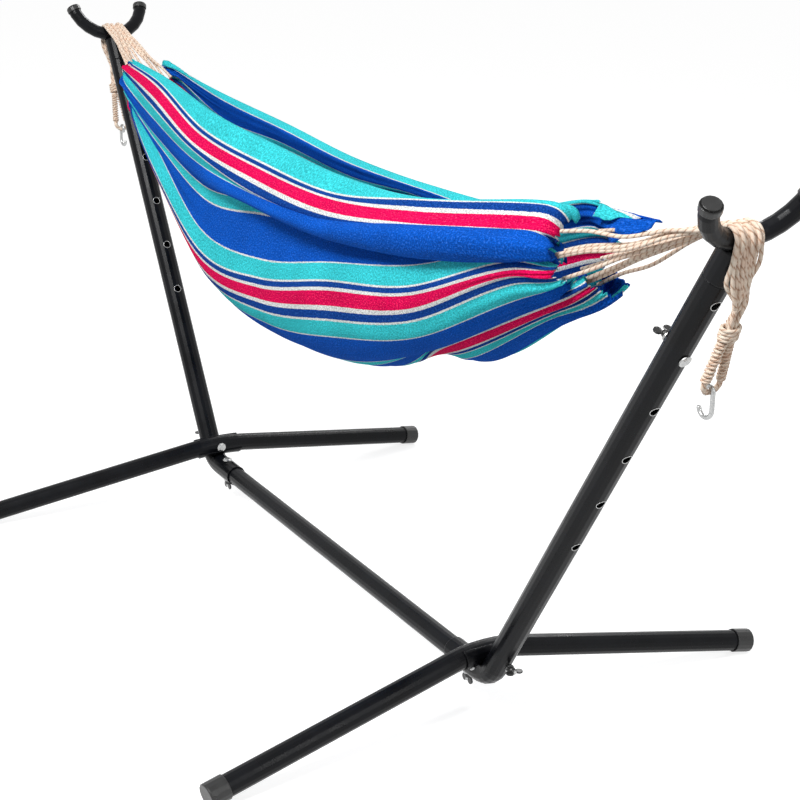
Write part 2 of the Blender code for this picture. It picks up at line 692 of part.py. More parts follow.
def hammock_bed():
    """A shell of cloth. Its origin is on the axis that it swings about."""
    hem = hem_section()
    count = len(hem) - 1
    middle = smooth_through(MIDDLE_SECTION, count)
    cage = bmesh.new()
    bmesh.ops.create_grid(cage, x_segments=BED_CELLS_ALONG, y_segments=count, size=1)
    for vertex in cage.verts:
        i = round((vertex.co.y + 1) / 2 * count)
        column = round((vertex.co.x + 1) / 2 * BED_CELLS_ALONG)
        vertex.co = cloth_point(middle, hem, i, column_x(column)) - SWING_CENTRE
    mesh = bpy.data.meshes.new("hammock_bed")
    cage.to_mesh(mesh)
    cage.free()
    bed = add("hammock_bed", mesh, OBJECT)
    bed.location = SWING_CENTRE
    shell = bed.modifiers.new("Thickness", "SOLIDIFY")
    shell.thickness = CLOTH_THICKNESS
    shell.offset = 0
    return finish(bed, STRIPED_CLOTH)


# Cords, eye, whipping and hook

def hem_slope():
    """The slope of the cords from the middle of the hem to their first touch of the fork."""
    run = FORK_CENTRE - Vector((HEM_X["right"], 0, HEM_CENTRE_Z))
    reach = math.hypot(run.x, run.z)
    return math.atan2(run.z, run.x) + math.asin(WRAP_RADIUS / reach)


def on_wrap(turn, rise_by, outside_chord=1.0):
    """A point of a cord laid over the fork, at this angle round the fork's axis."""
    return (FORK_CENTRE + POST_AXIS * rise_by
            + Vector((math.cos(turn), 0, math.sin(turn))) * WRAP_RADIUS * outside_chord)


def cord_rows():
    """The sideways place of each cord on the fork, and how much the fork's curve lifts it."""
    rows = []
    lying = FORK_RADIUS - WRAP_RADIUS
    for i in range(CORDS):
        y = (i - (CORDS - 1) / 2) * CORD_PITCH
        rows.append((y, lying - math.sqrt(lying ** 2 - y ** 2)))
    return rows


def at_swing_plane(rise_by):
    """Height of a cord where it crosses the plane at SWING_X."""
    first_touch = on_wrap(math.pi / 2 + hem_slope(), rise_by)
    return first_touch.z - (first_touch.x - SWING_X) * math.tan(hem_slope())


def fused(name, meshes, end, material):
    """One piece made by joining overlapping bars."""
    parts = bpy.data.collections.new(f"{name}_bars")
    CUTTERS.children.link(parts)
    for i, mesh in enumerate(meshes[1:]):
        bar = bpy.data.objects.new(f"{name}_bar_{i}", mesh)
        parts.objects.link(bar)
        bar.parent = end
        bar.hide_render = True
        bar.display_type = "WIRE"
    piece = add(name, meshes[0], OBJECT, end)
    boolean(piece, parts, "UNION")
    return finish(piece, material)


def trim(piece, name, low_x, high_x, end):
    """Cuts the piece square at both of these planes."""
    box = block_mesh(name, (low_x, -CUT_BLOCK, 0), (high_x, CUT_BLOCK, CUT_BLOCK))
    boolean(piece, add(name, box, CUTTERS, end), "INTERSECT")


def end_cords(side, end):
    """The cords from the hem's pleats to the fork, side by side and touching where they reach it."""
    hem = hem_section()
    meshes = []
    for k, (y, rise_by) in enumerate(cord_rows()):
        i = round((k + 0.5) * CELLS_PER_PLEAT)
        start = cloth_point(hem, hem, i, HEM_X["right"])
        start.x = HEM_X[side]
        stop = Vector((SWING_X, y, at_swing_plane(rise_by)))
        path = []
        for step in range(CORD_RUNS + 1):
            t = step / CORD_RUNS
            path.append(start.lerp(stop, t) - Vector((0, 0, 4 * CORD_SAG * t * (1 - t))))
        meshes.append(tube_mesh("cord", stretched(path, CORD_DIAMETER), CORD_DIAMETER, CORD_SIDES))
    cords = fused(f"end_cords_{side}", meshes, end, COTTON)
    trim(cords, f"end_cords_length_{side}", HEM_X[side] + GAP, SWING_X - GAP / 2, end)
    return cords


def leaning(angle):
    """Straight down, turned in towards the post by this angle."""
    return Vector((-math.sin(angle), 0, -math.cos(angle)))


def gather_start():
    return on_wrap(-TAIL_LEAN, 0) + leaning(TAIL_LEAN) * TAIL_LENGTH


def tail_end():
    return gather_start() + leaning(EYE_LEAN) * TAIL_GATHER


def rope_tail(side, end):
    """The cords laid over the fork and gathered down its outer side into one rope."""
    down = leaning(EYE_LEAN)
    aside = Vector((down.z, 0, -down.x))
    first = math.pi / 2 + hem_slope()
    outside_chord = 1 / math.cos((first + TAIL_LEAN) / WRAP_RUNS / 2)
    meshes = []
    for k, (y, rise_by) in enumerate(cord_rows()):
        path = [Vector((SWING_X - CORD_DIAMETER, y, at_swing_plane(rise_by)))]
        for step in range(WRAP_RUNS + 1):
            turn = first + (-TAIL_LEAN - first) * step / WRAP_RUNS
            path.append(on_wrap(turn, rise_by, outside_chord) + Vector((0, y, 0)))
        gathered = (2 * k / (CORDS - 1) - 1) * TAIL_HALF_WIDTH
        layer = aside * CORD_DIAMETER * (0.5 if k % 2 else -0.5)
        side_step = Vector((0, gathered, 0)) + layer
        path.append(gather_start() + side_step)
        path.append(tail_end() - down * UNEVEN_END * k + side_step)
        meshes.append(tube_mesh("tail", path, CORD_DIAMETER, CORD_SIDES))
    tail = fused(f"rope_tail_{side}", meshes, end, COTTON)
    trim(tail, f"rope_tail_length_{side}", SWING_X + GAP / 2, 2 * SWING_X, end)
    return tail


def eye_top():
    """The centre of the eye's upper arc."""
    return tail_end() + leaning(EYE_LEAN) * (EYE_ROPE_DIAMETER / 2 + EYE_TOP_RADIUS + GAP)


def eye_bottom():
    """The centre of the eye's lower arc."""
    return eye_top() + leaning(EYE_LEAN) * EYE_LENGTH


def rope_eye(side, end):
    """A closed loop of rope, narrow at the top and wide at the bottom, in the plane of Y and its lean."""
    down = leaning(EYE_LEAN)
    across = Vector((0, 1, 0))
    lean = math.asin((EYE_BOTTOM_RADIUS - EYE_TOP_RADIUS) / EYE_LENGTH)
    arcs = ((eye_top(), EYE_TOP_RADIUS, math.pi + lean, math.pi - 2 * lean, EYE_TOP_STEPS),
            (eye_bottom(), EYE_BOTTOM_RADIUS, -lean, math.pi + 2 * lean, EYE_BOTTOM_STEPS))
    path = []
    for centre, radius, start, sweep, steps in arcs:
        for i in range(steps + 1):
            turn = start + sweep * i / steps
            path.append(centre + across * radius * math.cos(turn) + down * radius * math.sin(turn))
    mesh = tube_mesh("eye", path, EYE_ROPE_DIAMETER, ROPE_SIDES, closed=True)
    return finish(add(f"rope_eye_{side}", mesh, OBJECT, end), COTTON)


def whipping(side, end):
    """The cord wound round the head of the eye and the end of the tail, as one oval helix."""
    down = leaning(EYE_LEAN)
    aside = Vector((down.z, 0, -down.x))
    start = tail_end() - down * WHIPPING_BACK
    wide = EYE_TOP_RADIUS + EYE_ROPE_DIAMETER / 2 + 3 * GAP + WHIPPING_CORD / 2
    deep = CORD_DIAMETER + WHIPPING_CLEARANCE + WHIPPING_CORD / 2
    path = []
    for i in range(WHIPPING_LOOPS * LOOP_POINTS + 1):
        turn = 2 * math.pi * i / LOOP_POINTS
        path.append(start + down * WHIPPING_PITCH * i / LOOP_POINTS
                    + aside * deep * math.cos(turn) + Vector((0, wide * math.sin(turn), 0)))
    least = min((path[i] - path[j]).length for i in range(len(path))
                for j in range(i + LOOP_POINTS // 2, len(path)))
    print(f"whipping_{side}: least gap to itself {1000 * (least - WHIPPING_CORD):.2f} mm")
    mesh = tube_mesh("whipping", path, WHIPPING_CORD, CORD_SIDES)
    return finish(add(f"whipping_{side}", mesh, OBJECT, end), COTTON)


def hook_pivot():
    """The axis of the rope at the bottom of the eye, which the hook hangs on."""
    return eye_bottom() + leaning(EYE_LEAN) * EYE_BOTTOM_RADIUS


def eye_hook(side, end):
    """A bent rod hung on the bottom of the eye. Its origin is on the axis that it swings about."""
    upper = (EYE_ROPE_DIAMETER + HOOK_ROD) / 2 + 2 * GAP
    lower = HOOK_LOWER_RADIUS
    bottom = Vector((upper - lower, 0, -HOOK_SHANK))
    path = arc(Vector(), upper, math.pi + HOOK_TOP_PAST, 0, HOOK_TOP_STEPS)
    path += arc(bottom, lower, 0, -math.pi, HOOK_BOTTOM_STEPS)
    hook = add(f"eye_hook_{side}", tube_mesh("hook", path, HOOK_ROD, ROPE_SIDES), OBJECT, end)
    hook.location = hook_pivot()
    return finish(hook, ZINC)


def stand_end(side, turn):
    end = bpy.data.objects.new(f"end_{side}", None)
    OBJECT.objects.link(end)
    end.rotation_euler = (0, 0, turn)
    lower_post(side, end)
    fork_post(side, end)
    fork_horn(side, end)
    cross_leg(side, end)
    leg_saddle(side, end)
    for which in ("near", "far"):
        fork_cap(side, which, end)
        foot_cap(side, which, end)
        saddle_screw(side, which, end)
    clamps(side, end)
    end_cords(side, end)
    rope_tail(side, end)
    rope_eye(side, end)
    whipping(side, end)
    eye_hook(side, end)


clear_scene()
OBJECT = new_collection("hammock")
CUTTERS = new_collection("cutters")
BLACK_STEEL = new_material("black_steel", (0.012, 0.012, 0.014), 0.32, 0.0)
BLACK_PLASTIC = new_material("black_plastic", (0.015, 0.015, 0.016), 0.5, 0.0)
ZINC = new_material("zinc_plate", (0.72, 0.73, 0.75), 0.3, 1.0)
STRIPED_CLOTH = new_material("striped_cloth", (0.05, 0.16, 0.55), 0.85, 0.0)
COTTON = new_material("cotton_cord", (0.82, 0.77, 0.68), 0.9, 0.0)
SWING_CENTRE = Vector((0, 0, at_swing_plane(0)))

base_beam()
for side, turn in (("right", 0), ("left", math.pi)):
    stand_end(side, turn)
hammock_bed()
print(f"swing axis height {SWING_CENTRE.z:.4f}, hook axis {tuple(round(c, 4) for c in hook_pivot())}")
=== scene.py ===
import math
import random

import bpy
from mathutils import Matrix, Vector, noise


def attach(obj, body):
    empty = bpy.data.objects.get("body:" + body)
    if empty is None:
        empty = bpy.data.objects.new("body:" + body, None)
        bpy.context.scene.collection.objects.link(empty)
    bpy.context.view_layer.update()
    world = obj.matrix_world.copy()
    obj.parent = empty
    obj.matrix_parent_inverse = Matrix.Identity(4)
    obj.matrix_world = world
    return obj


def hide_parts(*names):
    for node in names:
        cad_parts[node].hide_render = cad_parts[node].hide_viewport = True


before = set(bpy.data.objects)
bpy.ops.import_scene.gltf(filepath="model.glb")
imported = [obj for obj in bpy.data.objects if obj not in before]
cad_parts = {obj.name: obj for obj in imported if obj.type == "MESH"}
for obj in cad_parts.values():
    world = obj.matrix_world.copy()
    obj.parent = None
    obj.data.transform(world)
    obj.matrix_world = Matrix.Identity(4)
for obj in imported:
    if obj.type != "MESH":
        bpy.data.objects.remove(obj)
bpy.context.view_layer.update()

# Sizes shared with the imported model, in metres, for the right end
GAP = 0.0003  # between pieces that touch
POST_LEAN = math.radians(31)
CORNER = Vector((0.627, 0, 0.0755))  # where the beam's axis and the post's axis would cross
POST_AXIS = Vector((math.sin(POST_LEAN), 0, math.cos(POST_LEAN)))
POST_NORMAL = Vector((math.cos(POST_LEAN), 0, -math.sin(POST_LEAN)))
POST_OD = 0.048
FORK_AT = 1.1307  # corner to the fork's axis
FORK_CENTRE = CORNER + POST_AXIS * FORK_AT
FIRST_HOLE = 0.437
HOLE_PITCH = 0.1165
HOLE_COUNT = 6
BOLTED_HOLE = 4  # counted from 0
HOLE_RADIUS = 0.0085
FORK_OD = 0.031
FORK_RADIUS = 0.0917
CORD_DIAMETER = 0.0068
CORD_PITCH = 0.0058
CORDS = 9
WRAP_RADIUS = (FORK_OD + CORD_DIAMETER) / 2 + GAP  # of a cord's middle line on the fork's bar
SWING_X = 1.150  # where the part that swings ends and the part laid on the fork begins
HEM_X = {"right": 0.90, "left": 0.97}
HEM_CENTRE_Z = 0.957
TAIL_LEAN = math.radians(8.4)
TAIL_LENGTH = 0.112
TAIL_GATHER = 0.024
EYE_LEAN = math.radians(18)
EYE_ROPE = 0.010
EYE_TOP_RADIUS = 0.0066
EYE_BOTTOM_RADIUS = 0.015
EYE_LENGTH = 0.080
HOOK_ROD = 0.0075
HOOK_SHANK = 0.026
HOOK_LOWER_RADIUS = 0.0145

# Camera, worked out from the stand's straight tubes
CAMERA_PLACE = Vector((2.9501, -1.5651, 1.6086))
CAMERA_TURN = math.radians(59.649)
CAMERA_PITCH = math.radians(19.4616)
CAMERA_ROLL = math.radians(0.9066)
CAMERA_LENS = 75.65
CAMERA_SENSOR = 36

HALF_TURN = Matrix.Rotation(math.pi, 4, "Z")
ENDS = {"right": Matrix.Identity(4), "left": HALF_TURN}


# Materials

def new_material(name):
    """A material with its node tree, the Principled shader and a function that adds a linked node."""
    material = bpy.data.materials.new(name)
    material.use_nodes = True
    tree = material.node_tree
    shader = tree.nodes["Principled BSDF"]

    def add_node(kind, inputs=(), **settings):
        node = tree.nodes.new(kind)
        for key, value in settings.items():
            setattr(node, key, value)
        for key, value in dict(inputs).items():
            if isinstance(value, bpy.types.NodeSocket):
                tree.links.new(value, node.inputs[key])
            else:
                node.inputs[key].default_value = value
        return node

    return material, tree, shader, add_node


def ramp(add_node, factor, stops, interpolation="LINEAR"):
    """A colour ramp with these (position, colour) stops."""
    node = add_node("ShaderNodeValToRGB", {"Fac": factor})
    node.color_ramp.interpolation = interpolation
    elements = node.color_ramp.elements
    while len(elements) > 1:
        elements.remove(elements[-1])
    elements[0].position = stops[0][0]
    elements[0].color = (*stops[0][1], 1)
    for place, colour in stops[1:]:
        elements.new(place).color = (*colour, 1)
    return node.outputs["Color"]


def grey(value):
    return (value, value, value)


def steel_material():
    """Black gloss powder coat with a fine orange peel and slightly uneven colour and gloss."""
    material, tree, shader, add_node = new_material("black_powder_coat")
    place = add_node("ShaderNodeNewGeometry").outputs["Position"]
    cloudy = add_node("ShaderNodeTexNoise", {"Vector": place, "Scale": 18, "Detail": 4})
    peel = add_node("ShaderNodeTexNoise", {"Vector": place, "Scale": 900, "Detail": 2})
    coat = ((0.3, (0.0020, 0.0022, 0.0030)), (0.75, (0.005, 0.0056, 0.0075)))
    colour = ramp(add_node, cloudy.outputs["Fac"], coat)
    rough = ramp(add_node, cloudy.outputs["Fac"], ((0.3, grey(0.22)), (0.7, grey(0.34))))
    round_normal = add_node("ShaderNodeBevel", {"Radius": 0.0035}, samples=6).outputs["Normal"]
    bump = add_node("ShaderNodeBump", {"Height": peel.outputs["Fac"], "Strength": 0.10,
                                       "Distance": 0.0004, "Normal": round_normal})
    tree.links.new(colour, shader.inputs["Base Color"])
    tree.links.new(rough, shader.inputs["Roughness"])
    tree.links.new(bump.outputs["Normal"], shader.inputs["Normal"])
    shader.inputs["Specular IOR Level"].default_value = 0.14
    return material


def plastic_material():
    """Black moulded plastic with a fine grain."""
    material, tree, shader, add_node = new_material("black_moulded_plastic")
    place = add_node("ShaderNodeNewGeometry").outputs["Position"]
    grain = add_node("ShaderNodeTexNoise", {"Vector": place, "Scale": 1400, "Detail": 3})
    worn = add_node("ShaderNodeTexNoise", {"Vector": place, "Scale": 60, "Detail": 3})
    colour = ramp(add_node, worn.outputs["Fac"], ((0.3, grey(0.008)), (0.8, grey(0.017))))
    rough = ramp(add_node, worn.outputs["Fac"], ((0.3, grey(0.26)), (0.7, grey(0.38))))
    round_normal = add_node("ShaderNodeBevel", {"Radius": 0.0028}, samples=6).outputs["Normal"]
    bump = add_node("ShaderNodeBump", {"Height": grain.outputs["Fac"], "Strength": 0.25,
                                       "Distance": 0.0003, "Normal": round_normal})
    tree.links.new(colour, shader.inputs["Base Color"])
    tree.links.new(rough, shader.inputs["Roughness"])
    tree.links.new(bump.outputs["Normal"], shader.inputs["Normal"])
    shader.inputs["Specular IOR Level"].default_value = 0.50
    return material


def zinc_material():
    """Zinc plate, blotchy and unevenly bright."""
    material, tree, shader, add_node = new_material("bright_zinc")
    place = add_node("ShaderNodeNewGeometry").outputs["Position"]
    blotch = add_node("ShaderNodeTexVoronoi", {"Vector": place, "Scale": 420})
    cloudy = add_node("ShaderNodeTexNoise", {"Vector": place, "Scale": 260, "Detail": 4})
    plate = ((0.0, (0.34, 0.35, 0.36)), (0.8, (0.50, 0.50, 0.49)))
    colour = ramp(add_node, blotch.outputs["Distance"], plate)
    rough = ramp(add_node, cloudy.outputs["Fac"], ((0.3, grey(0.22)), (0.7, grey(0.42))))
    bump = add_node("ShaderNodeBump",
                    {"Height": cloudy.outputs["Fac"], "Strength": 0.15, "Distance": 0.0003})
    tree.links.new(colour, shader.inputs["Base Color"])
    tree.links.new(rough, shader.inputs["Roughness"])
    tree.links.new(bump.outputs["Normal"], shader.inputs["Normal"])
    shader.inputs["Metallic"].default_value = 1.0
    return material


def cotton_material():
    """Undyed cotton cord: cream, with fine fibres and painted shade darkening the grooves between its
    strands.
    """
    material, tree, shader, add_node = new_material("undyed_cotton")
    place = add_node("ShaderNodeNewGeometry").outputs["Position"]
    fibre = add_node("ShaderNodeTexNoise", {"Vector": place, "Scale": 1100, "Detail": 4})
    cloudy = add_node("ShaderNodeTexNoise", {"Vector": place, "Scale": 55, "Detail": 3})
    cream = ((0.3, (0.95, 0.73, 0.58)), (0.7, (1.00, 0.88, 0.74)))
    soil = ramp(add_node, cloudy.outputs["Fac"], cream)
    lint = ramp(add_node, fibre.outputs["Fac"], ((0.35, grey(0.80)), (0.65, grey(1.0))))
    colour = add_node("ShaderNodeMix", {"Factor": 1.0, "A": soil, "B": lint},
                      data_type="RGBA", blend_type="MULTIPLY")
    lay_place = add_node("ShaderNodeUVMap", uv_map="lay").outputs["UV"]
    parts = add_node("ShaderNodeSeparateXYZ", {"Vector": lay_place})
    along = add_node("ShaderNodeMath", {0: parts.outputs["X"], 1: STRANDS * LAY_TURNS},
                     operation="MULTIPLY")
    strand = add_node("ShaderNodeMath", {0: parts.outputs["Y"], 1: STRANDS, 2: along.outputs[0]},
                      operation="MULTIPLY_ADD")
    within = add_node("ShaderNodeMath", {0: strand.outputs[0], 1: 1.0}, operation="PINGPONG")
    # painted shade: the colour falls to dark brown in the grooves between the strands, where shade falls
    shade = ((0.0, (0.54, 0.36, 0.26)), (0.34, grey(0.93)), (0.7, grey(1.0)))
    painted_groove_shade = ramp(add_node, within.outputs[0], shade)
    colour = add_node("ShaderNodeMix", {"Factor": 1.0, "A": colour.outputs["Result"], "B": painted_groove_shade},
                      data_type="RGBA", blend_type="MULTIPLY")
    height = add_node("ShaderNodeMath", {0: within.outputs[0], 1: fibre.outputs["Fac"]}, operation="ADD")
    bump = add_node("ShaderNodeBump", {"Height": height.outputs[0], "Strength": 0.6, "Distance": 0.0009})
    tree.links.new(colour.outputs["Result"], shader.inputs["Base Color"])
    tree.links.new(bump.outputs["Normal"], shader.inputs["Normal"])
    shader.inputs["Roughness"].default_value = 0.9
    shader.inputs["Specular IOR Level"].default_value = 0.15
    shader.inputs["Sheen Weight"].default_value = 0.15
    return material


# Stripes across the cloth, as (width, colour); the run repeats over the whole cloth
TURQUOISE = (0.050, 0.70, 0.76)
NAVY = (0.006, 0.064, 0.35)
ROYAL = (0.004, 0.108, 0.61)
PINK = (0.93, 0.003, 0.110)
WHITE = (0.88, 0.90, 0.88)
THIN = 0.003
STRIPES = (
    (0.030, TURQUOISE), (THIN, WHITE), (0.014, NAVY), (0.008, WHITE), (0.028, PINK), (0.008, WHITE),
    (0.014, NAVY), (THIN, WHITE), (0.030, TURQUOISE), (THIN, WHITE), (0.078, ROYAL), (THIN, WHITE),
    (0.030, TURQUOISE), (THIN, WHITE), (0.078, ROYAL), (THIN, WHITE),
)
REPEAT = sum(width for width, _ in STRIPES)
WEAVE_PITCH = 0.0026
EDGE_WANDER = 0.0026  # how far a stripe's edge strays, from one side to the other


def cloth_material():
    """Woven cotton: dyed stripes with uneven edges, flecked yarn and a coarse plain weave."""
    material, tree, shader, add_node = new_material("striped_cotton")
    weave_place = add_node("ShaderNodeUVMap", uv_map="cloth").outputs["UV"]
    wander = add_node("ShaderNodeTexNoise", {"Vector": weave_place, "Scale": 260, "Detail": 2})
    parts = add_node("ShaderNodeSeparateXYZ", {"Vector": weave_place})
    shift = add_node("ShaderNodeMath", {0: wander.outputs["Fac"], 1: 0.5}, operation="SUBTRACT")
    shifted = add_node("ShaderNodeMath", {0: shift.outputs[0], 1: EDGE_WANDER, 2: parts.outputs["Y"]},
                       operation="MULTIPLY_ADD")
    share = add_node("ShaderNodeMath", {0: shifted.outputs[0], 1: REPEAT}, operation="DIVIDE")
    wrapped = add_node("ShaderNodeMath", {0: share.outputs[0]}, operation="FRACT")
    stops, reached = [], 0.0
    for width, colour in STRIPES:
        stops.append((reached / REPEAT, colour))
        reached += width
    stripes = ramp(add_node, wrapped.outputs[0], stops, "CONSTANT")

    along = add_node("ShaderNodeMapping", {"Vector": weave_place, "Scale": (420, 900, 1)})
    fleck = add_node("ShaderNodeTexNoise", {"Vector": along.outputs[0], "Scale": 1.0, "Detail": 2})
    cross = add_node("ShaderNodeMapping", {"Vector": weave_place, "Scale": (210, 330, 1)})
    yarn = add_node("ShaderNodeTexNoise", {"Vector": cross.outputs[0], "Scale": 1.0, "Detail": 3})
    faded = add_node("ShaderNodeTexNoise", {"Vector": weave_place, "Scale": 9, "Detail": 3})
    dark = ramp(add_node, fleck.outputs["Fac"],
                ((0.34, grey(0.62)), (0.50, grey(0.96)), (0.66, grey(1.22))))
    light = ramp(add_node, yarn.outputs["Fac"], ((0.36, grey(0.62)), (0.60, grey(1.10))))
    wear = ramp(add_node, faded.outputs["Fac"], ((0.30, grey(0.88)), (0.70, grey(1.06))))
    colour = stripes
    for layer in (dark, light, wear):
        colour = add_node("ShaderNodeMix", {"Factor": 1.0, "A": colour, "B": layer},
                          data_type="RGBA", blend_type="MULTIPLY").outputs["Result"]
    speck = ramp(add_node, yarn.outputs["Fac"], ((0.58, grey(0.0)), (0.70, grey(0.12))))
    colour = add_node("ShaderNodeMix", {"Factor": speck, "A": colour, "B": (0.30, 0.62, 0.86, 1)},
                      data_type="RGBA").outputs["Result"]

    waves = []
    threads = {"Vector": weave_place, "Scale": math.pi / 10 / WEAVE_PITCH,
               "Distortion": 1.2, "Detail": 1.0}
    for direction in ("X", "Y"):
        wave = add_node("ShaderNodeTexWave", threads, bands_direction=direction)
        waves.append(wave.outputs["Fac"])
    crossing = add_node("ShaderNodeMath", {0: waves[0], 1: waves[1]}, operation="MULTIPLY")
    height = add_node("ShaderNodeMath", {0: crossing.outputs[0], 1: fleck.outputs["Fac"]},
                      operation="ADD")
    bump = add_node("ShaderNodeBump", {"Height": height.outputs[0], "Strength": 0.55, "Distance": 0.0009})
    tree.links.new(colour, shader.inputs["Base Color"])
    tree.links.new(bump.outputs["Normal"], shader.inputs["Normal"])
    shader.inputs["Roughness"].default_value = 0.88
    shader.inputs["Specular IOR Level"].default_value = 0.05
    return material


# Meshes

def add_piece(name, vertices, faces, material, smooth=True, lay=None):
    """An object of this mesh; lay gives each face corner's (metres along the cord, turn round it)."""
    mesh = bpy.data.meshes.new(name)
    mesh.from_pydata([tuple(point) for point in vertices], [], faces)
    mesh.update()
    mesh.materials.append(material)
    if lay:
        layer = mesh.uv_layers.new(name="lay")
        for corner, place in zip(layer.data, lay):
            corner.uv = place
    if smooth:
        mesh.shade_smooth()
    piece = bpy.data.objects.new(name, mesh)
    bpy.context.scene.collection.objects.link(piece)
    return piece


def smooth_points(points, step):
    """Points about this far apart on a smooth curve through these ones."""
    found = []
    last = len(points) - 1
    for i in range(last):
        before, after = points[max(i - 1, 0)], points[min(i + 2, last)]
        start, stop = points[i], points[i + 1]
        leave, arrive = (stop - before) / 2, (after - start) / 2
        count = max(1, round((stop - start).length / step))
        for k in range(count):
            t = k / count
            a, b = 2 * t ** 3 - 3 * t ** 2 + 1, t ** 3 - 2 * t ** 2 + t
            c, d = 3 * t ** 2 - 2 * t ** 3, t ** 3 - t ** 2
            found.append(start * a + leave * b + stop * c + arrive * d)
    found.append(points[-1].copy())
    return found


def path_frames(path, closed=False):
    """At each point, two directions square to the path that never twist about it."""
    frames = []
    count = len(path)
    side = None
    for i in range(count):
        if closed:
            ahead = (path[(i + 1) % count] - path[i - 1]).normalized()
        else:
            ahead = (path[min(i + 1, count - 1)] - path[max(i - 1, 0)]).normalized()
        if side is None:
            side = ahead.orthogonal().normalized()
        side = (side - ahead * side.dot(ahead)).normalized()
        frames.append((side.copy(), ahead.cross(side)))
    return frames


def swept(path, radius_at, sides, closed=False):
    """The (vertices, faces, lay) of a tube: radius_at(distance along, angle) gives its section."""
    frames = path_frames(path, closed)
    vertices, faces, lay, places = [], [], [], []
    travelled = 0.0
    for i, point in enumerate(path):
        if i:
            travelled += (point - path[i - 1]).length
        places.append(travelled)
        across, up = frames[i]
        for k in range(sides):
            turn = 2 * math.pi * k / sides
            reach = radius_at(travelled, turn)
            vertices.append(point + (across * math.cos(turn) + up * math.sin(turn)) * reach)
    rings = len(path)
    for i in range(rings if closed else rings - 1):
        j = (i + 1) % rings
        here = places[i]
        there = places[j] if j else here + (path[0] - path[i]).length
        for k in range(sides):
            m = (k + 1) % sides
            faces.append((i * sides + k, i * sides + m, j * sides + m, j * sides + k))
            low, high = k / sides, (k + 1) / sides
            lay += [(here, low), (here, high), (there, high), (there, low)]
    if not closed:
        faces.append(tuple(reversed(range(sides))))
        faces.append(tuple(range((rings - 1) * sides, rings * sides)))
        lay += [(0, 0)] * sides + [(travelled, 0)] * sides
    return vertices, faces, lay


def joined(parts):
    """One (vertices, faces, lay) from several."""
    vertices, faces, lay = [], [], []
    for points, cells, corners in parts:
        first = len(vertices)
        vertices += points
        faces += [tuple(index + first for index in cell) for cell in cells]
        lay += corners
    return vertices, faces, lay


def add_cord(name, parts, material):
    """One object from several swept parts."""
    vertices, faces, lay = joined(parts)
    return add_piece(name, vertices, faces, material, lay=lay)


# The lay of a cord: its strands, their turns in a metre, and how deep the grooves are between them
# as a share of the radius
ROPE_SIDES = 12
LAY_DEPTH = 0.14
LAY_TURNS = 44
STRANDS = 3


def laid_cord(points, diameter, turns_per_metre=LAY_TURNS, step=0.0026, phase=0.0):
    """A cord of three strands laid together, along a smooth curve through these points."""
    path = smooth_points(points, step)

    def radius_at(travelled, turn):
        twist = turn - 2 * math.pi * turns_per_metre * travelled
        strand = abs(math.cos(STRANDS / 2 * twist + phase))
        return diameter / 2 * (1 - LAY_DEPTH + LAY_DEPTH * math.sqrt(strand))

    return swept(path, radius_at, ROPE_SIDES)


# The cloth

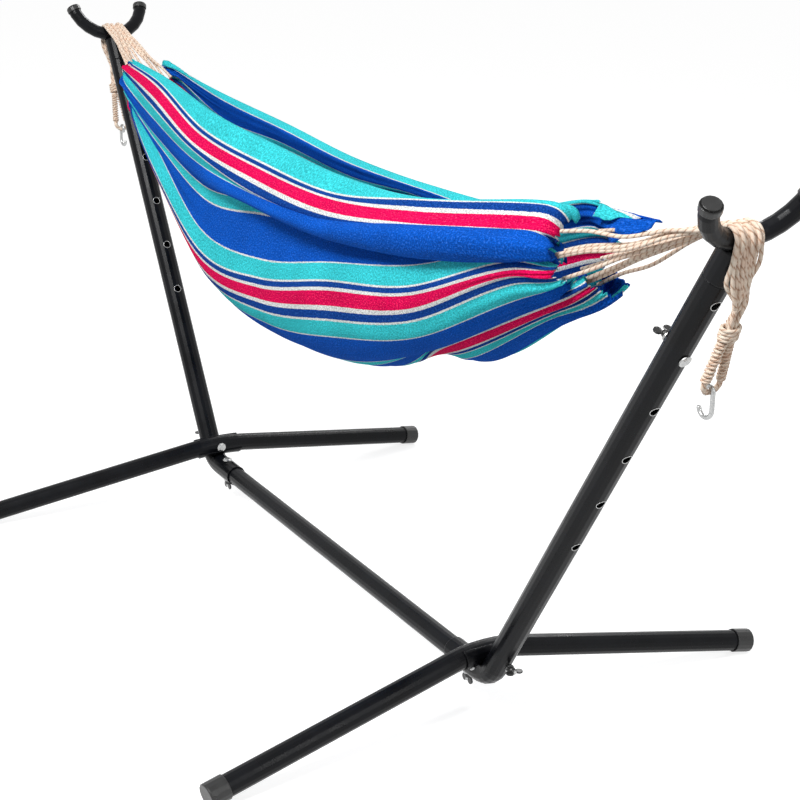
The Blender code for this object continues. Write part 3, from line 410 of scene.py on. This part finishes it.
# Its outline at eight places along the hammock, as (place across the flat cloth, y, z) in millimetres,
# from the near edge round the bottom to the far edge
OUTLINES = {
    -0.97: (
        (0, -50, 1016), (55, -66, 1010), (83, -74, 1000), (120, -72, 984), (160, -80, 968), (220, -78, 950),
        (280, -58, 932), (336, -38, 914), (366, -58, 910), (420, -52, 900), (500, -28, 893), (600, 0, 890),
        (720, 22, 892), (840, 44, 902), (950, 60, 922), (1060, 66, 950), (1150, 62, 978), (1220, 50, 998),
        (1260, 40, 1004),
    ),
    -0.70: (
        (0, -60, 1004), (30, -82, 998), (55, -92, 990), (83, -104, 972), (105, -110, 955), (140, -108, 925),
        (190, -104, 895), (222, -100, 880), (255, -98, 865), (295, -98, 850), (315, -90, 842),
        (336, -89, 832), (366, -106, 808), (391, -104, 790), (419, -94, 775), (444, -80, 764),
        (474, -62, 754), (530, -34, 741), (600, 0, 734), (680, 36, 738), (750, 62, 752), (820, 85, 780),
        (900, 92, 820), (980, 94, 848), (1060, 88, 872), (1110, 84, 886), (1149, 79, 903),
        (1190, 72, 928), (1230, 67, 952), (1245, 73, 958), (1260, 80, 961),
    ),
    -0.40: (
        (0, -78, 973), (15, -90, 971), (30, -107, 944), (55, -117, 932), (83, -130, 914), (105, -136, 900),
        (125, -130, 885), (141, -125, 872), (170, -128, 855), (190, -124, 838), (205, -115, 828),
        (222, -106, 815), (255, -104, 785), (295, -108, 752), (336, -115, 715), (366, -122, 675),
        (391, -124, 655), (419, -120, 635), (444, -109, 613), (474, -90, 594), (520, -60, 570),
        (570, -20, 556), (620, 25, 558), (670, 62, 578), (720, 92, 605), (780, 115, 660), (840, 122, 720),
        (900, 115, 780), (960, 105, 835), (1020, 104, 850), (1080, 98, 866), (1149, 86, 894),
        (1190, 80, 912), (1230, 81, 928), (1260, 104, 934),
    ),
    -0.10: (
        (0, -75, 955), (15, -90, 949), (30, -108, 924), (55, -117, 911), (83, -130, 893), (105, -137, 868),
        (122, -125, 858), (141, -135, 862), (165, -148, 852), (190, -146, 842), (205, -132, 838),
        (222, -115, 842), (235, -108, 836), (255, -108, 815), (290, -110, 775), (336, -115, 721),
        (366, -122, 686), (391, -125, 664), (419, -121, 640), (444, -115, 612), (474, -102, 583),
        (515, -75, 553), (560, -38, 535), (610, 10, 530), (660, 55, 545), (710, 90, 580), (760, 115, 625),
        (820, 130, 690), (880, 130, 750), (940, 118, 805), (1000, 110, 845), (1060, 107, 858),
        (1120, 98, 868), (1149, 92, 878), (1180, 86, 892), (1230, 83, 908), (1260, 105, 914),
    ),
    0.20: (
        (0, -70, 943), (15, -84, 940), (30, -104, 920), (55, -115, 909), (83, -130, 891), (100, -135, 875),
        (122, -116, 867), (141, -132, 874), (165, -151, 864), (190, -149, 846), (208, -132, 838),
        (228, -106, 852), (245, -95, 860), (260, -93, 848), (283, -103, 826), (336, -115, 786),
        (366, -122, 754), (391, -125, 733), (419, -122, 704), (444, -117, 672), (474, -104, 640),
        (510, -80, 606), (555, -46, 580), (600, -12, 564), (650, 22, 558), (690, 46, 560), (720, 66, 568),
        (760, 92, 594), (800, 112, 640), (860, 126, 716), (920, 118, 788), (1000, 106, 860),
        (1080, 96, 880), (1149, 86, 894), (1190, 82, 902), (1230, 83, 911), (1260, 104, 916),
    ),
    0.50: (
        (0, -66, 958), (15, -80, 967), (30, -94, 968), (47, -107, 956), (55, -112, 949), (83, -129, 931),
        (98, -133, 922), (120, -113, 915), (141, -130, 926), (165, -151, 916), (190, -150, 889),
        (210, -130, 870), (240, -98, 895), (260, -84, 908), (282, -86, 892), (312, -104, 866),
        (336, -113, 851),
        (366, -121, 817), (391, -123, 798), (419, -118, 775), (444, -110, 749), (474, -98, 720),
        (520, -72, 698), (555, -50, 692), (600, -20, 712), (650, -8, 722), (695, -20, 710), (719, -34, 696),
        (741, -26, 686), (763, -17, 678), (790, -8, 671), (820, 2, 664), (850, 16, 659), (890, 40, 657),
        (930, 70, 672), (970, 96, 712), (1020, 112, 776), (1080, 112, 836), (1130, 104, 866),
        (1180, 92, 892), (1230, 88, 920), (1260, 102, 934),
    ),
    0.78: (
        (0, -30, 1008), (15, -46, 1017), (30, -62, 1016), (47, -77, 1004), (55, -83, 997),
        (83, -101, 978), (98, -106, 970), (120, -84, 966), (141, -102, 974), (165, -122, 966),
        (190, -125, 937), (210, -104, 920), (240, -62, 940), (270, -45, 952), (300, -56, 944),
        (328, -86, 944), (336, -95, 943),
        (366, -103, 925), (391, -104, 908), (419, -98, 901), (444, -92, 883), (474, -82, 856),
        (510, -64, 844), (555, -44, 838), (600, -24, 852), (655, -14, 862), (700, -24, 850), (719, -33, 838),
        (741, -24, 825), (763, -15, 822), (785, -8, 818), (812, -4, 814), (850, 12, 808), (890, 34, 808),
        (930, 54, 815), (980, 74, 840), (1030, 82, 880), (1080, 80, 920), (1130, 68, 952),
        (1180, 56, 980), (1230, 48, 1004), (1260, 52, 1010),
    ),
    0.90: (
        (0, -6, 1020), (33, -34, 1024), (60, -56, 1012), (90, -70, 994), (112, -40, 984), (135, -70, 990),
        (165, -90, 978), (195, -88, 952), (225, -50, 946), (270, -14, 952), (315, -48, 950),
        (345, -78, 944), (400, -80, 930), (444, -74, 914), (474, -64, 902), (510, -46, 896),
        (555, -26, 906), (610, -4, 922), (665, -16, 912), (705, -34, 900), (740, -28, 886), (790, -10, 872),
        (840, 10, 866), (890, 30, 872), (940, 48, 886), (980, 30, 906), (1020, 6, 920), (1060, 30, 932),
        (1100, 60, 944), (1140, 40, 962), (1170, 12, 974), (1200, 36, 990), (1230, 42, 1010),
        (1260, 20, 1020),
    ),
}
CLOTH_WIDTH = 1.260
CLOTH_FLAT_LENGTH = 2.05
CLOTH_ROWS = 300
CLOTH_COLUMNS = 170
CLOTH_THICKNESS = 0.0016

# How high each kind of wave stands in the cloth, and how far apart the regular ones lie
CREASE_HEIGHT = 0.0036
RIPPLE_HEIGHT = 0.0016
PLEAT_HEIGHT = 0.0070
WIDE_PLEAT_PITCH = 0.14
NARROW_PLEAT_PITCH = 0.047
GATHER_HEIGHT = 0.0032
GATHER_PITCH = 0.021

# The gathers and the hems' crumples were chosen by measuring the cloth over them. Its flat width is
# 1.26 m; with these it is 1.08 m at the left hem and 1.47 m at the right
CRUMPLING = {"right": 0.0018, "left": 0.0098}

# The ruffled ends: how long they are, how sharply they set in, how much they rise as they reach out,
# how uneven the bare edge is, and what share of the way it is drawn to the hem's middle
RUFFLE_LENGTH = 0.085
RUFFLE_POWER = 1.6
RUFFLE_RISE = 0.35
EDGE_JAG = 0.006
EDGE_DRAWN = 0.16

# Where the middle of the cloth ends and the drawn-together part begins
DRAWN_FROM = {"right": 0.35, "left": 0.50}

# How far past the gathered end each part of the cloth's edge reaches, as (place across, right end,
# left end)
EDGE_REACH = (
    (0.00, -0.060, 0.000), (0.05, -0.056, 0.004), (0.09, -0.050, 0.010), (0.112, -0.075, 0.000),
    (0.16, -0.036, 0.012), (0.20, -0.034, 0.010), (0.27, -0.085, -0.006), (0.345, -0.036, 0.006),
    (0.42, -0.030, 0.012), (0.474, -0.026, 0.008), (0.60, -0.050, -0.006), (0.70, -0.004, 0.010),
    (0.78, 0.010, 0.012), (0.86, 0.024, 0.004), (0.94, 0.016, 0.008), (1.02, -0.030, -0.010),
    (1.10, -0.006, 0.008), (1.15, -0.010, 0.000), (1.175, 0.080, 0.006), (1.205, 0.098, 0.010),
    (1.228, 0.040, 0.008), (1.26, -0.060, 0.004),
)


def through(knots, place):
    """Values on a smooth curve through knots of (place, value, value …)."""
    last = len(knots) - 1
    place = min(max(place, knots[0][0]), knots[-1][0])
    i = 0
    while i < last - 1 and place > knots[i + 1][0]:
        i += 1
    start, stop = knots[i], knots[i + 1]
    before, after = knots[max(i - 1, 0)], knots[min(i + 2, last)]
    width = stop[0] - start[0]
    t = (place - start[0]) / width
    a, b = 2 * t ** 3 - 3 * t ** 2 + 1, t ** 3 - 2 * t ** 2 + t
    c, d = 3 * t ** 2 - 2 * t ** 3, t ** 3 - t ** 2
    values = []
    for k in range(1, len(start)):
        leave = (stop[k] - before[k]) / (stop[0] - before[0]) * width
        arrive = (after[k] - start[k]) / (after[0] - start[0]) * width
        values.append(a * start[k] + b * leave + c * stop[k] + d * arrive)
    return values


def cloth_shape():
    """A function that gives the cloth's smooth surface, without pleats, at (place across, x)."""
    stations = sorted(OUTLINES)
    rows = {}
    for row in range(CLOTH_ROWS + 1):
        place = 1000 * CLOTH_WIDTH * row / CLOTH_ROWS
        rows[row] = [(x, *through(OUTLINES[x], place)) for x in stations]

    def surface(row, x):
        y, z = through(rows[row], x)
        return Vector((x, y / 1000, z / 1000))

    return surface


def gathered(x):
    """How strongly the cloth is drawn together here: 0 along the middle, 1 at either end."""
    side = "right" if x > 0 else "left"
    return min(1, max(0, (abs(x) - DRAWN_FROM[side]) / (HEM_X[side] - DRAWN_FROM[side])))


def striped_cloth(material):
    """The whole cloth as one sheet, with its creases, tuck, pleats and ruffled ends."""
    surface = cloth_shape()
    first, last = -HEM_X["left"], HEM_X["right"]
    grid = []
    for column in range(CLOTH_COLUMNS + 1):
        t = column / CLOTH_COLUMNS
        x = first + (last - first) * t
        grid.append([surface(row, x) for row in range(CLOTH_ROWS + 1)])
    vertices, uvs = [], []
    for line in grid:
        x = line[0].x
        draw = gathered(x)
        edge = max(0, 1 - min(x - first, last - x) / RUFFLE_LENGTH) ** RUFFLE_POWER
        side, way = ("right", 1) if x > 0 else ("left", -1)
        for row, point in enumerate(line):
            across = CLOTH_WIDTH * row / CLOTH_ROWS
            ahead, behind = line[min(row + 1, CLOTH_ROWS)], line[max(row - 1, 0)]
            run = (ahead - behind).normalized()
            outward = Vector((0, run.z, -run.y))
            big = noise.noise(Vector((x * 1.6, across * 15, 3)))
            small = noise.noise(Vector((x * 4.0, across * 42, 9)))
            pleat = (0.60 * math.cos(2 * math.pi * across / WIDE_PLEAT_PITCH)
                     + 0.40 * math.cos(2 * math.pi * across / NARROW_PLEAT_PITCH + 1.2))
            stray = 5 * noise.noise(Vector((x * 3, across * 9, 0)))
            fine = math.cos(2 * math.pi * across / GATHER_PITCH + stray)
            wave = (CREASE_HEIGHT * big + RIPPLE_HEIGHT * small
                    + (PLEAT_HEIGHT * pleat + GATHER_HEIGHT * fine) * draw ** 3)
            right_reach, left_reach = through(EDGE_REACH, across)
            reach = right_reach if x > 0 else left_reach
            jag = EDGE_JAG * noise.noise(Vector((across * 40, 0, 5)))
            slide = Vector((way, 0, RUFFLE_RISE)) * (reach + jag) * edge
            crumple = Vector((0.3 * noise.noise(Vector((across * 70, x * 30, 1))),
                              noise.noise(Vector((across * 55, x * 36, 2))),
                              noise.noise(Vector((across * 62, x * 33, 3)))))
            crumple *= CRUMPLING[side] * edge
            drawn = (Vector((point.x, 0, HEM_CENTRE_Z)) - point) * EDGE_DRAWN * edge ** 2
            vertices.append(point + outward * wave + slide + drawn + crumple)
            uvs.append((x / (last - first) * CLOTH_FLAT_LENGTH, across))
    width = CLOTH_ROWS + 1
    faces = []
    for column in range(CLOTH_COLUMNS):
        for row in range(CLOTH_ROWS):
            corner = column * width + row
            faces.append((corner, corner + width, corner + width + 1, corner + 1))
    piece = add_piece("striped_cloth", vertices, faces, material)
    layer = piece.data.uv_layers.new(name="cloth")
    for loop in piece.data.loops:
        layer.data[loop.index].uv = uvs[loop.vertex_index]
    shell = piece.modifiers.new("Thickness", "SOLIDIFY")
    shell.thickness = CLOTH_THICKNESS
    shell.offset = 0
    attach(piece, "bed")
    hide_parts("hammock_bed")
    return surface


# Cords, eyes, windings and hooks. Each is written for the right end; the left end is half a turn round

def on_wrap(turn, rise_by):
    """The middle of a cord on the fork's bar, this far round it and raised this much."""
    return (FORK_CENTRE + POST_AXIS * rise_by
            + Vector((math.cos(turn), 0, math.sin(turn))) * WRAP_RADIUS)


def hem_slope():
    """How steeply the cords rise from the cloth's right end to where they touch the fork's bar."""
    run = FORK_CENTRE - Vector((HEM_X["right"], 0, HEM_CENTRE_Z))
    reach = math.hypot(run.x, run.z)
    return math.atan2(run.z, run.x) + math.asin(WRAP_RADIUS / reach)


def leaning(angle):
    """The direction down, leaning this much towards the hammock's middle."""
    return Vector((-math.sin(angle), 0, -math.cos(angle)))


GATHER_START = on_wrap(-TAIL_LEAN, 0) + leaning(TAIL_LEAN) * TAIL_LENGTH
TAIL_END = GATHER_START + leaning(EYE_LEAN) * TAIL_GATHER
EYE_DOWN = leaning(EYE_LEAN)
EYE_ASIDE = Vector((EYE_DOWN.z, 0, -EYE_DOWN.x))
EYE_TOP = TAIL_END + EYE_DOWN * (EYE_ROPE / 2 + EYE_TOP_RADIUS + GAP)
EYE_BOTTOM = EYE_TOP + EYE_DOWN * EYE_LENGTH
EYE_SPLAY = math.asin((EYE_BOTTOM_RADIUS - EYE_TOP_RADIUS) / EYE_LENGTH)  # of each leg

# The cords, as (place on the fork in pitches from its middle, layer): nine lie side by side and three
# more in the grooves between them
CORD_ROWS = [(i - (CORDS - 1) / 2, 0.0) for i in range(CORDS)]
CORD_ROWS += [(-2.5, 1.0), (0.5, 1.0), (2.5, 1.0)]
UPPER_LIFT = 0.78  # of the three, in cord diameters
UPPER_SHIFT = 0.03  # of their starts along the hem, as a share of its width

# Where the cords start: this far inside the hem, and this share of the way to the end's middle
START_INSIDE = 0.045
START_INWARD = 0.34

# The hanging tail: half its width where it is gathered, and for three places down it how wide it
# still is and how unevenly its cords lie
GATHER_HALF_WIDTH = 0.0062
TAIL_SPOTS = ((0.28, 1.10, 0.002), (0.55, 0.85, 0.006), (0.80, 0.45, 0.006))
WRAP_STEPS = 6
CROSSING_SEED = {"right": 11, "left": 12}


def cord_place(row, layer):
    """A cord's place across the fork, how far the bar's curve raises it and how far it is lifted."""
    y = row * CORD_PITCH
    lying = FORK_RADIUS - WRAP_RADIUS
    return y, lying - math.sqrt(lying ** 2 - y ** 2), layer * CORD_DIAMETER * UPPER_LIFT


def over_fork(y, rise_by, lift, turn):
    """A point of a cord where it lies on the fork's bar."""
    spot = on_wrap(turn, rise_by) + Vector((0, y, 0))
    return spot + Vector((math.cos(turn), 0, math.sin(turn))) * lift


def cord_paths(surface, side):
    """Each cord's points in two runs: from the cloth to the swing plane, then over the fork and down."""
    first = math.pi / 2 + hem_slope()
    random.seed(CROSSING_SEED[side])
    crossing = list(range(len(CORD_ROWS)))
    random.shuffle(crossing)
    found = []
    for k, (row, layer) in enumerate(CORD_ROWS):
        y, rise_by, lift = cord_place(row, layer)
        touch = over_fork(y, rise_by, lift, first)
        height = touch.z - (touch.x - SWING_X) * math.tan(hem_slope()) + lift * 0.1
        meet = Vector((SWING_X, y, height))
        share = (k + 0.5) / CORDS if layer == 0 else (row + CORDS / 2) / CORDS + UPPER_SHIFT
        cloth_row = round(CLOTH_ROWS * share)
        start_x = HEM_X[side] - START_INSIDE
        if side == "right":
            start = surface(cloth_row, start_x)
        else:
            start = HALF_TURN @ surface(CLOTH_ROWS - cloth_row, -start_x)
        start = start.lerp(Vector((start_x, 0, HEM_CENTRE_Z)), START_INWARD)
        sway = Vector((0, random.uniform(-0.006, 0.006), random.uniform(-0.010, 0.003)))
        middle = start.lerp(meet, 0.5) + sway
        hanging = [start, start.lerp(meet, 0.22), middle, start.lerp(meet, 0.78), meet]
        laid = [meet]
        for step in range(WRAP_STEPS + 1):
            turn = first + (-TAIL_LEAN - first) * step / WRAP_STEPS
            laid.append(over_fork(y, rise_by, lift, turn))
        gather = (2 * crossing[k] / (len(CORD_ROWS) - 1) - 1) * GATHER_HALF_WIDTH
        outer = 0.5 if k % 2 or layer else -0.5
        layer_side = EYE_ASIDE * (CORD_DIAMETER * outer + lift * 0.5)
        top = laid[-1]
        for down, spread, slack in TAIL_SPOTS:
            spot = top.lerp(GATHER_START, down)
            beside = y * spread + (gather - y * 0.2) * down + random.uniform(-slack, slack)
            aside = lift + random.uniform(-slack, slack / 2)
            laid.append(Vector((spot.x, beside, spot.z)) + EYE_ASIDE * aside)
        laid.append(GATHER_START + Vector((0, gather, 0)) + layer_side)
        laid.append(TAIL_END - EYE_DOWN * 0.004 + Vector((0, gather, 0)) + layer_side)
        found.append((hanging, laid))
    return found


EYE_STEP = 0.003


def on_eye(centre, radius, turn):
    """A point of one of the eye's two rounds: turn 0 is towards +Y, and a quarter turn is down."""
    return centre + Vector((0, radius * math.cos(turn), 0)) + EYE_DOWN * radius * math.sin(turn)


def eye_round(centre, radius, start, sweep):
    """The points of one of the eye's rounds, both ends included."""
    count = max(6, round(radius * sweep / EYE_STEP))
    return [on_eye(centre, radius, start + sweep * i / count) for i in range(count + 1)]


def between(start, stop):
    """Points between these two, neither of them included."""
    runs = round((stop - start).length / EYE_STEP)
    return [start.lerp(stop, k / runs) for k in range(1, runs)]


def eye_path():
    """The closed line of the eye's rope."""
    head = eye_round(EYE_TOP, EYE_TOP_RADIUS, math.pi + EYE_SPLAY, math.pi - 2 * EYE_SPLAY)
    foot = eye_round(EYE_BOTTOM, EYE_BOTTOM_RADIUS, -EYE_SPLAY, math.pi + 2 * EYE_SPLAY)
    return head + between(head[-1], foot[0]) + foot + between(foot[-1], head[0])


WINDING_STEPS = 16  # in each turn


def winding(line, radius, turns, wobble, seed):
    """Points of a cord wound round this line."""
    path = smooth_points(line, 0.002)
    frames = path_frames(path)
    steps = WINDING_STEPS * turns
    found = []
    for i in range(steps + 1):
        place = i / steps * (len(path) - 1)
        k = min(int(place), len(path) - 2)
        centre = path[k].lerp(path[k + 1], place - k)
        across, up = frames[k]
        turn = 2 * math.pi * i / WINDING_STEPS
        loose = 1 + wobble * noise.noise(Vector((i / 11, seed, 0)))
        found.append(centre + (across * math.cos(turn) + up * math.sin(turn)) * radius * loose)
    return found


def eye_legs():
    """The straight lines of the eye's two wound legs, top to bottom: (-Y leg, +Y leg)."""
    legs = []
    for turn in (math.pi + EYE_SPLAY, -EYE_SPLAY):
        top = on_eye(EYE_TOP, EYE_TOP_RADIUS, turn)
        bottom = on_eye(EYE_BOTTOM, EYE_BOTTOM_RADIUS, turn)
        legs.append([top.lerp(bottom, 0.06), top.lerp(bottom, 0.5), top.lerp(bottom, 0.93)])
    return legs


# Cord sizes with their turns of lay in a metre: of the windings, of the knot round the eye's head and,
# for the lay alone, of the eye's own rope
WINDING_CORD = 0.0046
WINDING_LAY = 90
KNOT_CORD = 0.0058
KNOT_LAY = 70
EYE_LAY = 40

KNOT_TURNS = 4
KNOT_STEPS = 24  # in each turn
KNOT_PITCH = 0.0056
KNOT_ABOVE = 0.010  # the tail's end


def eye_radius_at(travelled, turn):
    """The eye's rope: three strands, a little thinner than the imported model's."""
    twist = turn - 2 * math.pi * EYE_LAY * travelled
    return EYE_ROPE / 2 * (0.80 + 0.14 * abs(math.cos(STRANDS / 2 * twist)))


def knot_points():
    """Points of the cord wound round the eye's head."""
    wide = EYE_TOP_RADIUS + EYE_ROPE / 2 + 0.003
    deep = CORD_DIAMETER + 0.0038
    start = TAIL_END - EYE_DOWN * KNOT_ABOVE
    found = []
    for i in range(KNOT_TURNS * KNOT_STEPS + 1):
        turn = 2 * math.pi * i / KNOT_STEPS
        loose = 1 + 0.10 * noise.noise(Vector((i / 9, 4.0, 0)))
        found.append(start + EYE_DOWN * KNOT_PITCH * i / KNOT_STEPS
                     + EYE_ASIDE * deep * loose * math.cos(turn)
                     + Vector((0, wide * loose * math.sin(turn), 0)))
    return found


def rope_end(side, end, surface, cotton):
    """Everything made of cord at one end of the hammock."""
    paths = cord_paths(surface, side)
    hanging = [laid_cord(hang, CORD_DIAMETER, phase=k) for k, (hang, _) in enumerate(paths)]
    cords = add_cord(f"suspension_cords_{side}", hanging, cotton)
    laid = [laid_cord(down, CORD_DIAMETER, phase=k) for k, (_, down) in enumerate(paths)]
    tail = add_cord(f"gathered_cords_{side}", laid, cotton)

    core = swept(eye_path(), eye_radius_at, ROPE_SIDES, closed=True)
    eye = add_cord(f"eye_rope_{side}", [core], cotton)

    near_leg, far_leg = eye_legs()
    wound = []
    for line in (winding(near_leg, 0.0062, 11, 0.22, 1.0), winding(far_leg, 0.0054, 13, 0.12, 2.0)):
        wound.append(laid_cord(line, WINDING_CORD, WINDING_LAY, 0.0016))
    legs = add_cord(f"eye_windings_{side}", wound, cotton)

    knot = add_cord(f"knot_{side}", [laid_cord(knot_points(), KNOT_CORD, KNOT_LAY, 0.0018)], cotton)

    for piece, node, body in ((cords, "end_cords", "bed"), (tail, "rope_tail", "stand"),
                              (eye, "rope_eye", "stand"), (knot, "whipping", "stand")):
        piece.data.transform(end)
        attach(piece, body)
        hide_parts(f"{node}_{side}")
    legs.data.transform(end)
    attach(legs, "stand")


RIM_WIDTH = 0.0014
RIM_STEPS = 36
RIM_SIDES = 8


def hole_edge_highlights(side, end, zinc):
    """Thin bright zinc rings round the edge of each open adjustment hole, on both sides of the post: a
    painted highlight for the light that each hole's edge catches.
    """
    parts = []
    for i in range(HOLE_COUNT):
        if i == BOLTED_HOLE:
            continue
        centre = CORNER + POST_AXIS * (FIRST_HOLE + HOLE_PITCH * i)
        for face in (-1, 1):
            ring = []
            for k in range(RIM_STEPS):
                turn = 2 * math.pi * k / RIM_STEPS
                along, beside = HOLE_RADIUS * math.cos(turn), HOLE_RADIUS * math.sin(turn)
                height = math.sqrt((POST_OD / 2) ** 2 - beside ** 2)
                ring.append(centre + POST_AXIS * along + Vector((0, beside, 0))
                            + POST_NORMAL * face * height)
            parts.append(swept(ring, lambda travelled, turn: RIM_WIDTH / 2, RIM_SIDES, closed=True))
    # painted highlight: the rings are bright zinc so that each hole's edge shows a glint
    rims = add_cord(f"hole_edge_highlights_{side}", parts, zinc)
    rims.data.transform(end)
    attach(rims, "stand")


HOOK_CURL = math.radians(230)  # how far the upper end is bent round the eye's rope
HOOK_STEPS = 24
HOOK_SIDES = 20
HOOK_SLACK = 0.0006
TIP_RADIUS = 0.0004


def hook_end(side, end, zinc):
    """The bent rod hung on the eye, with rounded tips."""
    pivot = EYE_BOTTOM + EYE_DOWN * EYE_BOTTOM_RADIUS
    upper = (EYE_ROPE + HOOK_ROD) / 2 + HOOK_SLACK
    lower = HOOK_LOWER_RADIUS
    bottom = Vector((upper - lower, 0, -HOOK_SHANK))
    path = []
    for i in range(HOOK_STEPS + 1):
        turn = HOOK_CURL * (1 - i / HOOK_STEPS)
        path.append(pivot + Vector((math.cos(turn), 0, math.sin(turn))) * upper)
    for i in range(HOOK_STEPS + 1):
        turn = -math.pi * i / HOOK_STEPS
        path.append(pivot + bottom + Vector((math.cos(turn), 0, math.sin(turn))) * lower)
    path = smooth_points(path, 0.0012)
    total = sum((path[i + 1] - path[i]).length for i in range(len(path) - 1))

    def radius_at(travelled, turn):
        from_tip = min(travelled, total - travelled)
        if from_tip >= HOOK_ROD / 2:
            return HOOK_ROD / 2
        square = (HOOK_ROD / 2) ** 2 - (HOOK_ROD / 2 - from_tip) ** 2
        return max(TIP_RADIUS, math.sqrt(max(0, square)))

    hook = add_cord(f"hook_rod_{side}", [swept(path, radius_at, HOOK_SIDES)], zinc)
    hook.data.transform(end)
    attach(hook, f"hook_{side}")
    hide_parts(f"eye_hook_{side}")


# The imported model's own pieces take these materials

PLASTIC_NODES = ("foot_cap", "fork_cap", "beam_wing_nut", "post_wing_nut", "leg_wing_nut")
ZINC_NODES = ("beam_bolt", "post_bolt", "leg_bolt", "saddle_screw",
              "beam_washer", "post_washer", "leg_washer")


def dress_nodes(steel, plastic, zinc):
    """Gives every node its material; those with neither name above are steel."""
    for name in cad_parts:
        material = steel
        if name.startswith(PLASTIC_NODES):
            material = plastic
        if name.startswith(ZINC_NODES):
            material = zinc
        node = bpy.data.objects[name]
        if not node.material_slots:
            node.data.materials.append(material)
        for place in node.material_slots:
            place.material = material


# Floor, light and camera

FLOOR_HALF = 30
FLOOR_GLOW = 0.785  # seen by the camera and in reflections only
WORLD_GLOW = 0.38  # for what it lights; the camera and reflections see full white


def stage():
    """A pale floor that takes the shadow, and a white surrounding."""
    material, tree, shader, add_node = new_material("pale_floor")
    shader.inputs["Base Color"].default_value = (0.50, 0.50, 0.50, 1)
    shader.inputs["Roughness"].default_value = 0.9
    shader.inputs["Specular IOR Level"].default_value = 0.0
    path = add_node("ShaderNodeLightPath")
    seen = add_node("ShaderNodeMath", {0: path.outputs["Is Camera Ray"], 1: path.outputs["Is Glossy Ray"]},
                    operation="MAXIMUM")
    lift = add_node("ShaderNodeMath", {0: seen.outputs[0], 1: FLOOR_GLOW}, operation="MULTIPLY")
    shader.inputs["Emission Color"].default_value = (1, 1, 1, 1)
    tree.links.new(lift.outputs[0], shader.inputs["Emission Strength"])
    corners = [(x * FLOOR_HALF, y * FLOOR_HALF, 0) for x, y in ((-1, -1), (1, -1), (1, 1), (-1, 1))]
    add_piece("floor", corners, [(0, 1, 2, 3)], material, smooth=False)

    world = bpy.data.worlds.new("studio")
    bpy.context.scene.world = world
    world.use_nodes = True
    nodes, links = world.node_tree.nodes, world.node_tree.links
    background = nodes["Background"]
    background.inputs["Color"].default_value = (1, 1, 1, 1)
    rays = nodes.new("ShaderNodeLightPath")
    seen = rays.outputs["Is Camera Ray"]
    for kind in ("Is Transmission Ray", "Is Glossy Ray"):
        either = nodes.new("ShaderNodeMath")
        either.operation = "MAXIMUM"
        links.new(seen, either.inputs[0])
        links.new(rays.outputs[kind], either.inputs[1])
        seen = either.outputs[0]
    level = nodes.new("ShaderNodeMapRange")
    links.new(seen, level.inputs["Value"])
    level.inputs["To Min"].default_value = WORLD_GLOW
    level.inputs["To Max"].default_value = 1.0
    links.new(level.outputs["Result"], background.inputs["Strength"])


def area_lamp(name, place, target, size, watts):
    """A rectangular lamp at this place, turned to the target."""
    data = bpy.data.lights.new(name, "AREA")
    data.shape = "RECTANGLE"
    data.size, data.size_y = size
    data.energy = watts
    lamp = bpy.data.objects.new(name, data)
    lamp.location = place
    lamp.rotation_euler = (Vector(target) - Vector(place)).to_track_quat("-Z", "Y").to_euler()
    bpy.context.scene.collection.objects.link(lamp)


def lamps():
    area_lamp("key", (1.2, -2.6, 3.9), (0, 0, 0.7), (1.2, 1.2), 176)
    area_lamp("fill", (3.8, 1.2, 2.8), (0.2, 0, 0.6), (0.3, 2.0), 22)
    area_lamp("rim", (-2.4, 2.8, 2.8), (0, 0, 0.7), (2.0, 0.4), 50)


def camera():
    """The photo's view."""
    data = bpy.data.cameras.new("camera")
    data.sensor_width = CAMERA_SENSOR
    data.lens = CAMERA_LENS
    eye = bpy.data.objects.new("camera", data)
    bpy.context.scene.collection.objects.link(eye)
    ahead = Vector((-math.sin(CAMERA_TURN) * math.cos(CAMERA_PITCH),
                    math.cos(CAMERA_TURN) * math.cos(CAMERA_PITCH), -math.sin(CAMERA_PITCH)))
    level = ahead.cross(Vector((0, 0, 1))).normalized()
    up = level.cross(ahead)
    right = level * math.cos(CAMERA_ROLL) + up * math.sin(CAMERA_ROLL)
    top = up * math.cos(CAMERA_ROLL) - level * math.sin(CAMERA_ROLL)
    turn = Matrix((right, top, -ahead)).transposed()
    eye.matrix_world = Matrix.Translation(CAMERA_PLACE) @ turn.to_4x4()
    bpy.context.scene.camera = eye


def main():
    camera()
    stage()
    lamps()
    bpy.context.scene.view_settings.view_transform = "Standard"
    steel, plastic, zinc = steel_material(), plastic_material(), zinc_material()
    cotton = cotton_material()
    dress_nodes(steel, plastic, zinc)
    surface = striped_cloth(cloth_material())
    for side, end in ENDS.items():
        rope_end(side, end, surface, cotton)
        hook_end(side, end, zinc)
        hole_edge_highlights(side, end, zinc)


main()
